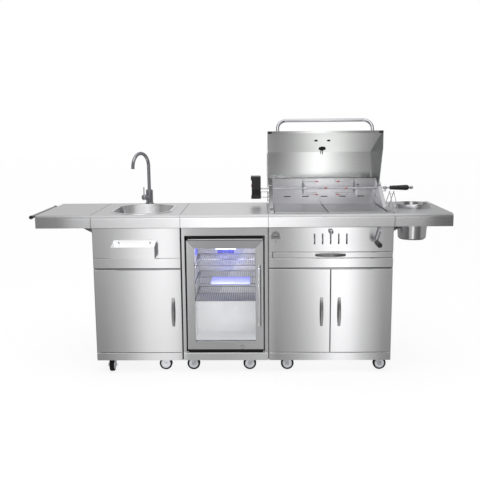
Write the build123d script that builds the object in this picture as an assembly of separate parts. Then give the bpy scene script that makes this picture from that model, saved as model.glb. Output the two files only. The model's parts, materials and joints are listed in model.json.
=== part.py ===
from build123d import *
import os
from math import acos, cos, hypot, pi, radians, sin, tan

# Outdoor kitchen on casters: side shelf, sink, fridge, charcoal grill, side shelf.
# Millimetres. +X runs to the right seen from the front, +Y to the back, +Z up, the floor is Z = 0.

# The run of modules
left_shelf_width = 310.0
sink_width = 503.0
fridge_width = 494.0
grill_width = 702.0
right_shelf_width = 321.0
depth = 600.0
top_height = 928.0
origin_setback = 258.0      # from the worktops' front edge back to the origin
seam_gap = 0.4              # what each worktop leaves free at its own edge
side_gap = 1.4              # module's edge to its carcass sides
reveal = 3.0                # module's edge to its fixed front pans

# Sheet work
sheet = 2.0                 # carcass panels and worktops
skin = 1.5                  # door and front pans
pan_depth = 20.0            # front pans stand this far in front of the carcass
pan_round = 2.5             # rounding of the pans' front edges
face_setback = 15.0         # from the worktop's front edge back to the pans' front
nose_radius = 20.0          # rounded front edge of the worktops
apron_drop = 72.0           # worktop surface to the apron's lower edge
rear_drop = 30.0
fit_gap = 0.3               # between faces of pieces that move past each other

# Levels on the front
plinth_low = 78.0
plinth_top = 123.0
door_gap = 3.0
door_drop = 315.0           # worktop surface to the doors' top, as the next three are
sink_band_drop = 249.0
drawer_drop = 252.0
fridge_opening_drop = 121.0
band_lift = 6.0             # band's lower edge over the hinge rail's
drawer_height = 36.0
pan_gap = 2.0               # fascia top to the apron's lower edge

# Doors, hinge pins and bow handles
door_side = 3.0
door_thick = 18.0
pin_radius = 4.0
pin_inset = 15.0            # pin axis from the module's edge
pin_length = 14.0
running_gap = 0.08          # radial play of pins, shafts and axles
handle_length = 170.0
handle_stand = 36.0
handle_bar = 9.0
handle_width = 15.0
handle_inset = 50.0
handle_lower = 3.5          # door handles' middle below the doors' middle
tab_half = 9.0              # half width of the lower hinge tabs

# Sink bowl, drain and faucet
bowl_width = 328.0
bowl_straight = 270.0       # straight part of the bowl's two sides
bowl_length = 466.0
bowl_depth = 152.0
bowl_setback = 276.0        # worktop's front edge to the bowl's middle
bowl_draft = 24.0           # how far the wall leans in over the depth
bowl_corner = 30.0
bowl_foot = 26.0
rim_width = 13.0
rim_height = 4.0
bowl_play = 1.0
bowl_offset = 13.0          # bowl's middle to the right of the module's
drain_hole = 30.0
pipe_hole = 62.0            # hole in the cabinet's base under the drain
tail_radius = 20.0
tail_bore = 17.0
tail_length = 110.0
faucet_setback = 568.0
faucet_body_height = 90.0
faucet_body_radius = 22.0
spout_tube = 10.5
spout_bend = 84.0
spout_rise = 238.0
spout_drop = 2.0
spout_collar = 3.0
nozzle_length = 5.0
spout_turn = 26.0           # spout direction, degrees to the left of straight forward
spigot_radius = 8.0
valve_turn = 36.0           # valve direction, degrees to the left of straight forward
valve_height = 45.0
valve_reach = 38.0
valve_radius = 17.0
valve_cap = 20.0
lever_length = 48.0
lever_radius = 3.2

# Condiment tray on the sink fascia
tray_left = 120.0
tray_width = 245.0
tray_depth = 78.0
tray_drop = 237.0           # worktop surface to the tray's bottom
tray_front_height = 65.0
tray_back_height = 95.0
tray_corner = 14.0

# Side shelves, brackets, towel bar, bucket
gusset_reach = 190.0
gusset_drop = 103.0
gusset_sheet = 3.0
gusset_flange = 18.0
gusset_front = 34.0
gusset_rear = 540.0
bar_radius = 9.0
bar_offset = 20.0
bar_drop = 8.0              # bar's middle below the worktop surface
bar_front = 6.0
bar_length = 470.0
bar_post = 6.0
bar_post_inset = 40.0
bar_cap = 14.0
bar_cap_lip = 1.5
bucket_rim = 103.0
bucket_neck = 95.0
bucket_foot = 82.0
bucket_rise = 24.0
bucket_drop = 188.0
bucket_wall = 1.5
bucket_setback = 300.0
bucket_play = 1.0

# Fridge
post_width = 22.0
housing_side = 32.0         # housing's side from the module's edge
housing_wall = 28.0
housing_depth = 490.0
fridge_door_side = 28.0
fridge_door_lift = 21.0     # plinth's top to the door's lower edge
fridge_door_drop = 27.0     # opening's top to the door's upper edge
fridge_door_set = 2.0       # door front behind the pans' front
fridge_door_thick = 38.0
door_frame = 46.0
glass_thick = 16.0
glass_set = 8.0
fridge_pin_inset = 15.0     # pin axis from the door's edge
fridge_pin_depth = 15.0     # pin axis behind the door's front
gasket_room = 4.0
bar_handle_lift = 148.0     # door's lower edge to the handle's end
bar_handle_drop = 150.0     # door's upper edge to the handle's end
bar_handle_radius = 9.0
bar_handle_stand = 40.0
bar_handle_post = 7.0
bar_handle_post_inset = 32.0
hump_share = 0.32           # of the height inside
hump_depth = 190.0
shelf_shares = (0.39, 0.553, 0.729)
shelf_setback = 84.0        # housing's front to the shelves' front
shelf_wire = 4.0
shelf_wire_pitch = 26.0
ledge = 9.0
fan_width = 118.0
fan_depth = 90.0
fan_height = 82.0
fan_setback = 120.0

# Grill: firebox, plates, charcoal tray, crank, damper, drawer
cheek_margin = 11.0         # module's edge to the cheek's outer face
cheek_thick = 22.0
firebox_front = 46.0        # worktop's front edge to the front wall
firebox_back = 453.0
firebox_depth = 200.0       # worktop surface to the floor's underside
cheek_step = 195.0
cheek_front_height = 12.0
cheek_rear_height = 162.0
wall_crease_rise = 86.0
wall_lean = 6.0
wall_rise = 162.0
vent_count = 5
vent_pitch = 113.0
vent_length = 42.0
vent_width = 5.0
baffle_sheet = 1.5          # sheet hung behind the vents between the cheeks
baffle_room = 2.5           # between the leaning wall's foot line and the baffle
baffle_drop = 60.0          # baffle's lower edge below the wall's crease
baffle_rise = 45.0
plate_rise = 5.0
plate_rim = 10.0
plate_gap = 4.0
plate_shift = -14.0         # gap between the plates from the module's middle
plate_slots = 4             # air slots along each plate's front edge
plate_slot_length = 44.0
plate_slot_width = 6.0
plate_slot_setback = 15.0
ledge_width = 15.0
ash_slot_count = 9
ash_slot_width = 11.0
ash_slot_margin = 40.0      # charcoal tray's slots from its sides
coal_left_gap = 24.0        # cheek's inner face to the charcoal tray
coal_right_gap = 31.0       # crank shaft to the charcoal tray
coal_lift = 22.0            # charcoal tray over the firebox floor
coal_wall = 45.0
coal_front = 66.0
coal_back = 430.0
coal_travel = 70.0
guide_radius = 4.0
guide_offset = 12.0
guide_depth = 300.0
collar = 9.0
shaft_margin = 82.0         # module's edge to the crank shaft
shaft_drop = 88.0
shaft_radius = 6.0
pinion_module = 3.0
pinion_teeth = 10
pinion_width = 10.0
pinion_setback = 84.0
backlash = 0.5
rack_addendum = 1.5
pressure_angle = 20.0
crank_drop = 68.0
crank_side = 22.0
crank_stand = 38.0          # arm's plane in front of the pans
arm_radius = 5.0
grip_radius = 14.0
grip_length = 96.0
grip_ribs = 6
slot_count = 5
slot_pitch = 45.0
slot_width = 9.0
slot_drop = 111.0           # worktop surface to the slots' top
slot_length = 61.0
slot_offset = -3.0          # middle slot from the module's middle
knob_slot_room = 11.0       # middle slot's top over the knob's stem
damper_height = 64.0
damper_side = 112.0
knob_radius = 13.0
knob_drop = 21.5            # damper plate's top to the knob's stem
stem_radius = 3.0
drawer_left_margin = 25.0   # module's edges to the drawer's front
drawer_right_margin = 7.0
drawer_box_margin = 75.0    # module's edges to the drawer's box
drawer_depth = 430.0
drawer_box_set = 3.0        # box's top below the front's
drawer_floor_lift = 5.0     # box's floor over the front's lower edge
drawer_handle = 172.0
drawer_handle_stand = 26.0
runner_width = 16.0
ceiling_drop = 8.0          # drawer front's lower edge to the cupboard's ceiling
opener_inset = 40.0
opener_drop = 54.0          # panel's top to the opener's middle
opener_width = 62.0
opener_tall = 68.0
opener_sheet = 2.5
opener_round = 16.0
opener_reach = 17.0
opener_outer = 26.0
opener_inner = 17.0
opener_cut = 9.0            # arch's lower edge below its middle

# Hood, drawn closed as offsets from the worktop's front edge and from its surface
hood_pivot = (435.0, 55.0)
hood_lip = (40.0, 10.0)
hood_flat = (150.0, 12.0)
hood_notch = (378.0, 132.0)
hood_crest = (166.0, 257.0)
hood_roof = (330.0, 260.0)
hood_rear = (475.0, 175.0)
hood_hem = 14.0
hood_open = 92.0            # degrees from closed to the photographed rest
hood_play = 3.0             # hinge lug outside the cheek
lug_thick = 3.0
lug_radius = 26.0
bolt_radius = 5.0
hood_grip_length = 572.0
hood_grip_stand = 86.0
hood_grip_tube = 10.0
hood_grip_bend = 54.0
hood_grip_up = 26.0         # along the front facet from the lip
dial_up = 222.0
dial_radius = 29.0
dial_thick = 13.0
dial_stem = 3.0
dial_stem_length = 45.0
dial_nut = 20.0
dial_nut_thick = 6.0

# Rotisserie
rod_setback = 395.0
rod_height = 108.0
rod_radius = 5.0
rod_end = 4.0
motor_gap = 50.0            # cheek to motor
motor_width = 58.0
motor_depth = 96.0
motor_low = 50.0
motor_high = 184.0
motor_cap = 22.0
socket_depth = 22.0
arm_bar = 3.0
arm_width = 16.0
arm_rise = 33.0             # between the two bars of a bracket
arm_setback = 23.0          # bracket's front edge in front of the rod
hook_reach = 14.0
hook_thick = 3.0
bushing_radius = 10.0
bushing_length = 24.0
hub_radius = 10.0
hub_length = 18.0
prong_radius = 2.5
prong_spread = 40.0
prong_side = 17.0
fork_left = -125.0
fork_right = 191.0
fork_left_prongs = (86.0, 138.0)
fork_right_prongs = (122.0, 74.0)
fork_bar = 4.0
prong_point = 12.0
screw_length = 26.0
screw_radius = 3.0
screw_head = 6.0
screw_head_radius = 7.0
spit_grip_gap = 50.0        # cheek's outer face to the grip
spit_grip_length = 117.0
spit_grip_small = 12.0
spit_grip_large = 16.5

# Wire rack beside the grill
rack_wire = 2.0
rack_bead = 3.4             # beads at the feet and at the top
rack_height = 100.0
rack_spread = 282.0
rack_width = 24.0
rack_setback = 64.0
rack_inset = 2.0
rack_cross = 0.88           # height of the upper cross wire, as a share

# Casters
wheel_radius = 37.5
wheel_width = 30.0
tyre_thick = 9.0
hub_width = 26.0
axle_radius = 5.0
caster_trail = 28.0
caster_inset = 82.0         # swivel axis from the module's edges, side to side
caster_front = 76.0         # swivel axis behind the pans' front
caster_rear = 85.0          # rear axle from the back
fork_plate = 2.5
fork_side_gap = 2.0
bridge_drop = 9.0           # module's base to the swivel fork's top
bridge_thick = 4.0
kingpin_radius = 6.0
caster_plate = 62.0
caster_plate_thick = 3.0
race_radius = 17.0

# Places worked out from the driving dimensions
run = left_shelf_width + sink_width + fridge_width + grill_width + right_shelf_width
x_left = (bar_offset + bar_radius + bar_cap_lip - run) / 2
x_sink = x_left + left_shelf_width
x_fridge = x_sink + sink_width
x_grill = x_fridge + fridge_width
x_right = x_grill + grill_width
x_end = x_right + right_shelf_width
x_mid = (x_grill + x_right) / 2
front = -origin_setback
back = front + depth
face = front + face_setback
carcass = face + pan_depth
rear_panel = back - sheet
under_top = top_height - sheet
apron_low = top_height - apron_drop
pan_top = apron_low - pan_gap
door_low = plinth_top + door_gap
door_top = top_height - door_drop
rail_low = door_top + door_gap
band_low = rail_low + band_lift
sink_band_top = top_height - sink_band_drop
handle_middle = (door_low + door_top) / 2 - handle_lower
drawer_low = top_height - drawer_drop
drawer_high = drawer_low + drawer_height

os.makedirs("parts", exist_ok=True)


def block(x, y, z):
    """A box between pairs of limits."""
    low = (min(x), min(y), min(z))
    high = (max(x), max(y), max(z))
    middle = [(a + b) / 2 for a, b in zip(low, high)]
    return Pos(*middle) * Box(*[b - a for a, b in zip(low, high)])


def prism_x(points, x0, x1):
    """A (Y, Z) outline drawn out along X."""
    outline = make_face(Polyline(*points, close=True))
    return extrude(Plane.YZ.offset(x0) * outline, x1 - x0)


def rod(start, end, radius):
    """A round bar between two points."""
    line = Vector(*end) - Vector(*start)
    return extrude(Plane(origin=start, z_dir=line) * Circle(radius), line.length)


def turned(points, place, axis=(0, 0, 1)):
    """A body of revolution from (radius, height) points about an axis through a place."""
    side = (1, 0, 0) if abs(axis[0]) < 0.5 else (0, 1, 0)
    frame = Plane(origin=place, x_dir=side, z_dir=axis)
    outline = Plane.XZ * make_face(Polyline(*points, close=True))
    return frame * revolve(outline, Axis.Z)


def folded(points, thick):
    """Outline of a folded sheet: a bent line, and the same line set off to its left."""
    steps = [(b[0] - a[0], b[1] - a[1]) for a, b in zip(points, points[1:])]
    normals = [(-v / hypot(u, v), u / hypot(u, v)) for u, v in steps]
    offset = []
    for i, (u, v) in enumerate(points):
        n0 = normals[max(i - 1, 0)]
        n1 = normals[min(i, len(normals) - 1)]
        share = thick / (1 + n0[0] * n1[0] + n0[1] * n1[1])
        offset.append((u + (n0[0] + n1[0]) * share, v + (n0[1] + n1[1]) * share))
    return list(points) + offset[::-1]


def pan(x, z, y0=face, deep=pan_depth):
    """A front panel folded as a shallow pan, open at the back."""
    outer = block(x, (y0, y0 + deep), z)
    outer = fillet(outer.faces().sort_by(Axis.Y)[0].edges(), pan_round)
    hollow = block((x[0] + skin, x[1] - skin), (y0 + skin, y0 + deep), (z[0] + skin, z[1] - skin))
    return outer - hollow


def bow(length, stand):
    """A bow handle along Z with its feet on the plane Y = 0."""
    half = length / 2
    inner = half - 1.6 * handle_bar
    outer_arc = ThreePointArc((0, -half), (-stand, 0), (0, half))
    inner_arc = ThreePointArc((0, inner), (handle_bar - stand, 0), (0, -inner))
    ends = [Line((0, half), (0, inner)), Line((0, -inner), (0, -half))]
    outline = make_face([outer_arc, ends[0], inner_arc, ends[1]])
    bar = extrude(Plane.YZ * outline, handle_width / 2, both=True)
    return fillet(bar.edges().filter_by(GeomType.CIRCLE), 2.0)


def save(name, *pieces):
    """Writes one node, a single solid or a group of solids."""
    solids = [solid for piece in pieces for solid in piece.solids()]
    shape = solids[0] if len(solids) == 1 else Compound(children=solids)
    export_step(shape, os.path.join("parts", name + ".step"))


# Carcass and worktop pieces shared by the modules
def carcass_panels(x0, x1, hole=None):
    """Sides, back, base and plinth of one module; the base may have a hole for a pipe."""
    left, right = x0 + side_gap, x1 - side_gap
    inside = (left + sheet, right - sheet)
    base = block(inside, (carcass, rear_panel - sheet), (plinth_top, plinth_top + sheet))
    if hole:
        base -= rod((*hole, plinth_top), (*hole, plinth_top + sheet), pipe_hole)
    return [
        base,
        block((left, left + sheet), (carcass, rear_panel), (plinth_low, under_top)),
        block((right - sheet, right), (carcass, rear_panel), (plinth_low, under_top)),
        block(inside, (rear_panel - sheet, rear_panel), (plinth_low, under_top)),
        pan((x0 + reveal, x1 - reveal), (plinth_low, plinth_top)),
    ]


def hinge_rail(x0, x1, pins):
    """Rail over the doors with its upper pins, and the lower tabs with theirs."""
    inside = (x0 + side_gap + sheet, x1 - side_gap - sheet)
    rail = block(inside, (face + sheet, carcass + 2 * pan_depth), (rail_low, rail_low + sheet))
    pieces = []
    for x in pins:
        y = face + door_thick / 2
        rail += rod((x, y, rail_low), (x, y, rail_low - pin_length), pin_radius)
        tab = block((x - tab_half, x + tab_half), (face + sheet, carcass), (plinth_top, plinth_top + sheet))
        tab += rod((x, y, plinth_top + sheet), (x, y, plinth_top + sheet + pin_length), pin_radius)
        pieces.append(tab)
    return [rail] + pieces


def worktop(x0, x1):
    """Worktop sheet with a rounded front edge, an apron and a rear turn-down."""
    turn = nose_radius * (1 - cos(radians(45)))
    inner_turn = sheet + (nose_radius - sheet) * (1 - cos(radians(45)))
    nose = top_height - nose_radius
    edges = [
        Line((back, top_height - rear_drop), (back, top_height)),
        Line((back, top_height), (front + nose_radius, top_height)),
        ThreePointArc((front + nose_radius, top_height), (front + turn, top_height - turn), (front, nose)),
        Line((front, nose), (front, apron_low)),
        Line((front, apron_low), (front + sheet, apron_low)),
        Line((front + sheet, apron_low), (front + sheet, nose)),
        ThreePointArc((front + sheet, nose), (front + inner_turn, top_height - inner_turn),
                      (front + nose_radius, under_top)),
        Line((front + nose_radius, under_top), (rear_panel, under_top)),
        Line((rear_panel, under_top), (rear_panel, top_height - rear_drop)),
        Line((rear_panel, top_height - rear_drop), (back, top_height - rear_drop)),
    ]
    outline = Plane.YZ.offset(x0 + seam_gap) * make_face(edges)
    return extrude(outline, x1 - x0 - 2 * seam_gap)


def end_plate(x0, x1):
    """Closes the free end of a side shelf."""
    return prism_x([(front + sheet, apron_low), (rear_panel, apron_low),
                    (rear_panel, under_top), (front + nose_radius, under_top),
                    (front + sheet, top_height - nose_radius)], x0, x1)


def door(x, z, pin_x):
    """A door pan with the two holes for its hinge pins."""
    panel = pan(x, z, face, door_thick)
    y = face + door_thick / 2
    for low, high in ((z[0], z[0] + skin), (z[1] - skin, z[1])):
        panel -= rod((pin_x, y, low), (pin_x, y, high), pin_radius + running_gap)
    return panel


# Sink module
sink_middle = (x_sink + x_fridge) / 2
bowl_x = sink_middle + bowl_offset
bowl_y = front + bowl_setback
bowl_under = top_height - bowl_depth
bowl_floor = bowl_under + sheet


def bowl_outline(grow, z):
    """The bowl's plan: two straight sides joined by bowed ends."""
    half, side, end = bowl_width / 2 + grow, bowl_straight / 2, bowl_length / 2 + grow
    edges = [
        ThreePointArc((-half, -side), (0, -end), (half, -side)),
        Line((half, -side), (half, side)),
        ThreePointArc((half, side), (0, end), (-half, side)),
        Line((-half, side), (-half, -side)),
    ]
    outline = make_face(edges)
    return Pos(bowl_x, bowl_y, z) * fillet(outline.vertices(), bowl_corner)


def bowl_body(grow, low, high, foot):
    """The bowl's tapered body, rounded at its foot."""
    body = loft([bowl_outline(grow, high), bowl_outline(grow - bowl_draft, low)], ruled=True)
    return fillet(body.faces().sort_by(Axis.Z)[0].edges(), foot)


def sink_bowl():
    rim = extrude(bowl_outline(rim_width, top_height), rim_height)
    rim = fillet(rim.faces().sort_by(Axis.Z)[-1].edges(), rim_height / 2)
    shell = rim + bowl_body(0, bowl_under, top_height, bowl_foot)
    shell -= bowl_body(-sheet, bowl_floor, top_height, bowl_foot - sheet)
    shell -= extrude(bowl_outline(-sheet, top_height), rim_height)
    hole = rod((bowl_x, bowl_y, bowl_under - sheet), (bowl_x, bowl_y, bowl_floor + sheet), drain_hole)
    return shell - hole


def sink_drain():
    flange, nut = drain_hole + 14, drain_hole + 11
    tail = bowl_under - tail_length
    points = [(tail_bore, tail), (tail_radius, tail), (tail_radius, bowl_under - 34),
              (drain_hole + 2, bowl_under - 28), (drain_hole + 2, bowl_under - 9), (nut, bowl_under - 9),
              (nut, bowl_under), (drain_hole - 0.5, bowl_under), (drain_hole - 0.5, bowl_floor),
              (flange, bowl_floor), (flange - 2, bowl_floor + 2.5), (drain_hole, bowl_floor + 2.5),
              (drain_hole - 5, bowl_floor - 7), (tail_bore, bowl_floor - 12)]
    return turned(points, (bowl_x, bowl_y, 0))


faucet = (sink_middle, front + faucet_setback, top_height)
tray_low = top_height - tray_drop


def faucet_body():
    r, h = faucet_body_radius, faucet_body_height
    points = [(0, 0), (r + 6, 0), (r + 6, 4), (r + 3, 7), (r, 9),
              (r, h - 2), (r - 2, h), (0, h)]
    body = turned(points, faucet)
    aim = (-sin(radians(valve_turn)), -cos(radians(valve_turn)))
    end = (faucet[0] + aim[0] * valve_reach, faucet[1] + aim[1] * valve_reach, top_height + valve_height)
    body += rod((faucet[0], faucet[1], top_height + valve_height), end, valve_radius - 3)
    top = (faucet[0], faucet[1], top_height + h)
    socket = rod(top, (top[0], top[1], top[2] - 2 * spigot_radius), spigot_radius + running_gap)
    return body - socket


def faucet_spout():
    aim = Vector(-sin(radians(spout_turn)), -cos(radians(spout_turn)), 0)
    plane = Plane(origin=faucet, x_dir=aim, z_dir=aim.cross(Vector(0, 0, 1)))
    low = faucet_body_height + fit_gap
    reach = 2 * spout_bend
    path = Wire([
        Edge.make_line((0, low), (0, spout_rise)),
        Edge.make_three_point_arc((0, spout_rise), (spout_bend, spout_rise + spout_bend),
                                  (reach, spout_rise)),
        Edge.make_line((reach, spout_rise), (reach, spout_rise - spout_drop)),
    ])
    path = plane.from_local_coords(path)
    start = (faucet[0], faucet[1], top_height + low)
    tube = sweep(Pos(*start) * Circle(spout_tube), path=path)
    tip = Vector(*faucet) + aim * reach
    mouth = top_height + spout_rise - spout_drop
    end = mouth - nozzle_length
    tube += rod((tip.X, tip.Y, mouth), (tip.X, tip.Y, end), spout_tube + 0.5)
    tube -= rod((tip.X, tip.Y, end), (tip.X, tip.Y, mouth), spout_tube - 2)
    collar_top = (start[0], start[1], start[2] + spout_collar)
    tube += rod(start, collar_top, spout_tube + spout_collar)
    spigot = (start[0], start[1], start[2] - 1.5 * spigot_radius)
    return tube + rod(spigot, start, spigot_radius)


def faucet_lever():
    aim = (-sin(radians(valve_turn)), -cos(radians(valve_turn)), 0)
    centre = (faucet[0], faucet[1], top_height + valve_height)
    place = [c + a * (valve_reach + fit_gap) for c, a in zip(centre, aim)]
    r, w = valve_radius, valve_cap
    cap = turned([(0, 0), (r, 0), (r, w - 4), (r - 4, w), (0, w)], tuple(place), aim)
    root = [p + a * w / 2 for p, a in zip(place, aim)]
    tip = (root[0], root[1], root[2] + r + lever_length)
    return cap + rod(tuple(root), tip, lever_radius)


def condiment_tray():
    x0 = x_sink + tray_left
    x1 = x0 + tray_width
    y0 = face - tray_depth
    tray_front_top = tray_low + tray_front_height
    tray_back_top = tray_low + tray_back_height
    plate = block((x0, x1), (face - skin, face), (tray_low, tray_back_top))
    tops = plate.edges().filter_by(Axis.Y).group_by(Axis.Z)[-1]
    plate = fillet(tops, tray_corner)
    shoulder = tray_front_top + 0.3 * tray_front_height
    side = [(face - skin, tray_low), (y0, tray_low), (y0, tray_front_top), (face - skin, shoulder)]
    box = prism_x(side, x0, x1)
    hollow = prism_x([(face - skin, tray_low + skin), (y0 + skin, tray_low + skin),
                      (y0 + skin, tray_back_top), (face - skin, tray_back_top)], x0 + skin, x1 - skin)
    return plate + (box - hollow)


def sink_module():
    x0, x1 = x_sink, x_fridge
    left, right = x0 + reveal, x1 - reveal
    pin = x0 + pin_inset
    save("sink_cabinet", *carcass_panels(x0, x1, (bowl_x, bowl_y)), *hinge_rail(x0, x1, [pin]),
         pan((left, right), (band_low, sink_band_top)),
         pan((left, right), (sink_band_top + pan_gap / 2, pan_top)),
         *rear_casters(x0, x1), *caster_heads(x0, x1))
    top = worktop(x0, x1) - extrude(bowl_outline(bowl_play, under_top - sheet), 3 * sheet)
    save("sink_worktop", top)
    save("sink_bowl", sink_bowl())
    save("sink_drain", sink_drain())
    save("faucet_body", faucet_body())
    save("faucet_spout", faucet_spout())
    save("faucet_lever", faucet_lever())
    save("condiment_tray", condiment_tray())
    handle = Pos(x1 - handle_inset, face, handle_middle) * bow(handle_length, handle_stand)
    save("sink_door", door((x0 + door_side, x1 - door_side), (door_low, door_top), pin), handle)


# Side shelves
def gussets(x, outward):
    """A front and a rear gusset under one side shelf."""
    pieces = []
    gusset_low = top_height - gusset_drop
    for setback, turn in ((gusset_front, 1), (gusset_rear, -1)):
        y = front + setback
        outline = make_face(Polyline((x, gusset_low), (x + outward * gusset_reach, under_top),
                                     (x, under_top), close=True))
        web = extrude(Plane.XZ.offset(-y) * outline, gusset_sheet, dir=(0, turn, 0))
        flange = block((x, x + outward * gusset_sheet), (y, y + turn * gusset_flange),
                       (gusset_low, under_top))
        ear = block((x, x + outward * gusset_reach), (y, y + turn * gusset_flange),
                    (under_top - gusset_sheet, under_top))
        pieces.append(web + flange + ear)
    return pieces


def towel_bar():
    x = x_left - bar_offset
    z = top_height - bar_drop
    y0 = front + bar_front
    bar = rod((x, y0, z), (x, y0 + bar_length, z), bar_radius)
    for y in (y0 + bar_post_inset, y0 + bar_length - bar_post_inset):
        bar += rod((x, y, z), (x_left + seam_gap, y, z), bar_post)
    caps = []
    for y, way in ((y0, -1), (y0 + bar_length, 1)):
        cap = rod((x, y, z), (x, y + way * bar_cap, z), bar_radius + bar_cap_lip)
        caps.append(fillet(cap.edges(), 1.2))
    return [bar] + caps


def ice_bucket():
    rim, neck, foot, wall = bucket_rim, bucket_neck, bucket_foot, bucket_wall
    low, high = top_height - bucket_drop, top_height + bucket_rise
    points = [(0, low), (foot - 8, low), (foot, low + 8), (neck, top_height), (rim, top_height),
              (rim, top_height + 4), (neck + 3, top_height + 6), (rim, high - 4),
              (rim + 3, high - 2), (rim + 2, high),
              (rim - wall, high - wall), (neck + 3 - wall, top_height + 6), (neck - wall, top_height - 2),
              (foot - wall, low + 9), (foot - 9, low + wall), (0, low + wall)]
    return turned(points, ((x_right + x_end) / 2, front + bucket_setback, 0))


def side_shelves():
    left = worktop(x_left, x_sink)
    left += end_plate(x_left + seam_gap, x_left + seam_gap + sheet)
    save("left_shelf", left, *gussets(x_sink + side_gap, -1))
    right = worktop(x_right, x_end)
    right += end_plate(x_end - seam_gap - sheet, x_end - seam_gap)
    centre = ((x_right + x_end) / 2, front + bucket_setback)
    right -= rod((*centre, under_top - sheet), (*centre, top_height + sheet), bucket_neck + bucket_play)
    save("right_shelf", right, *gussets(x_right - side_gap, 1))
    save("towel_bar", *towel_bar())
    save("ice_bucket", ice_bucket())


# Fridge module
fridge_opening_top = top_height - fridge_opening_drop
fridge_door_low = plinth_top + fridge_door_lift
fridge_door_high = fridge_opening_top - fridge_door_drop
bar_handle_low = fridge_door_low + bar_handle_lift
bar_handle_high = fridge_door_high - bar_handle_drop
housing_front = face + fridge_door_set + fridge_door_thick + gasket_room
housing_low = plinth_top + sheet
housing_high = fridge_opening_top - pan_gap
fridge_floor = housing_low + housing_wall
fridge_room = housing_high - housing_wall - fridge_floor
shelf_levels = [fridge_floor + share * fridge_room for share in shelf_shares]
fridge_pin = (x_fridge + fridge_door_side + fridge_pin_inset, face + fridge_door_set + fridge_pin_depth)


def fridge_housing():
    x0, x1 = x_fridge + housing_side, x_grill - housing_side
    y0, y1 = housing_front, housing_front + housing_depth
    wall = housing_wall
    inside = (x0 + wall, x1 - wall)
    px, py = fridge_pin
    head = block((x0, x1), (face + fridge_door_set, y0), (fridge_door_high + door_gap, housing_high))
    head += rod((px, py, fridge_door_high + door_gap), (px, py, fridge_door_high - pin_length), pin_radius)
    kick = block((x0, x1), (face + 3 * fridge_door_set, y0), (housing_low, fridge_door_low - door_gap))
    kick += rod((px, py, fridge_door_low - door_gap), (px, py, fridge_door_low + pin_length), pin_radius)
    pieces = [
        head, kick,
        block((x0, x0 + wall), (y0, y1), (housing_low, housing_high)),
        block((x1 - wall, x1), (y0, y1), (housing_low, housing_high)),
        block(inside, (y0, y1), (housing_low, fridge_floor)),
        block(inside, (y0, y1), (housing_high - wall, housing_high)),
        block(inside, (y1 - wall, y1), (fridge_floor, housing_high - wall)),
        block(inside, (y1 - wall - hump_depth, y1 - wall),
              (fridge_floor, fridge_floor + hump_share * fridge_room)),
    ]
    for z in shelf_levels:
        for x, way in ((inside[0], 1), (inside[1], -1)):
            pieces.append(block((x, x + way * ledge), (y0 + shelf_setback, y1 - wall), (z - ledge, z)))
    return pieces


def fridge_shelf(z):
    """One wire shelf, a frame with wires from front to back, resting on its ledges."""
    play = 2 * fit_gap
    x0, x1 = x_fridge + housing_side + housing_wall + play, x_grill - housing_side - housing_wall - play
    y0, y1 = housing_front + shelf_setback, housing_front + housing_depth - housing_wall - play
    w = shelf_wire
    frame = block((x0, x1), (y0, y1), (z, z + 1.5 * w))
    frame -= block((x0 + 1.5 * w, x1 - 1.5 * w), (y0 + 1.5 * w, y1 - 1.5 * w), (z - w, z + 3 * w))
    count = int((x1 - x0) / shelf_wire_pitch)
    step = (x1 - x0) / count
    wires = [block((x0 + i * step - w / 2, x0 + i * step + w / 2), (y0 + w, y1 - w), (z + w / 2, z + 1.5 * w))
             for i in range(1, count)]
    return frame + wires


def fan_light():
    x = (x_fridge + x_grill) / 2
    y = housing_front + fan_setback
    z = housing_high - housing_wall
    body = block((x - fan_width / 2, x + fan_width / 2), (y, y + fan_depth), (z - fan_height, z))
    return fillet(body.faces().sort_by(Axis.Z)[0].edges(), 10)


def fridge_door_frame():
    """Four profiles mitred at the corners, with a rebate for the glass."""
    x0, x1 = x_fridge + fridge_door_side, x_grill - fridge_door_side
    z0, z1 = fridge_door_low, fridge_door_high
    y0, y1 = face + fridge_door_set, face + fridge_door_set + fridge_door_thick
    w = door_frame
    whole = block((x0, x1), (y0, y1), (z0, z1))
    whole = fillet(whole.edges().filter_by(Axis.Z), 4)
    whole -= block((x0 + w, x1 - w), (y0, y1), (z0 + w, z1 - w))
    groove = (y0 + glass_set, y0 + glass_set + glass_thick)
    whole -= block((x0 + w / 2, x1 - w / 2), groove, (z0 + w / 2, z1 - w / 2))
    px, py = fridge_pin
    for low, high in ((z0, z0 + pin_length + 1), (z1 - pin_length - 1, z1)):
        whole -= rod((px, py, low), (px, py, high), pin_radius + running_gap)
    deep = (y0 - 1, y1 + 1)
    corner = [(x0, z0), (x1, z0), (x1, z1), (x0, z1)]
    heart = [(x0 + w, z0 + w), (x1 - w, z0 + w), (x1 - w, z1 - w), (x0 + w, z1 - w)]
    bars = []
    for i in range(4):
        j = (i + 1) % 4
        outline = make_face(Polyline(corner[i], corner[j], heart[j], heart[i], close=True))
        cutter = extrude(Plane.XZ.offset(-deep[0]) * outline, deep[1] - deep[0], dir=(0, 1, 0))
        bars.append(whole & cutter)
    return bars


def fridge_door_glass():
    x0, x1 = x_fridge + fridge_door_side, x_grill - fridge_door_side
    y0 = face + fridge_door_set + glass_set
    w = door_frame / 2
    return block((x0 + w, x1 - w), (y0, y0 + glass_thick), (fridge_door_low + w, fridge_door_high - w))


def fridge_door_handle():
    x = x_grill - fridge_door_side - door_frame / 2
    y0 = face + fridge_door_set
    y = y0 - bar_handle_stand
    bar = rod((x, y, bar_handle_low), (x, y, bar_handle_high), bar_handle_radius)
    bar = fillet(bar.edges().filter_by(GeomType.CIRCLE), 3)
    for z in (bar_handle_low + bar_handle_post_inset, bar_handle_high - bar_handle_post_inset):
        bar += rod((x, y, z), (x, y0, z), bar_handle_post)
    return bar


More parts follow.
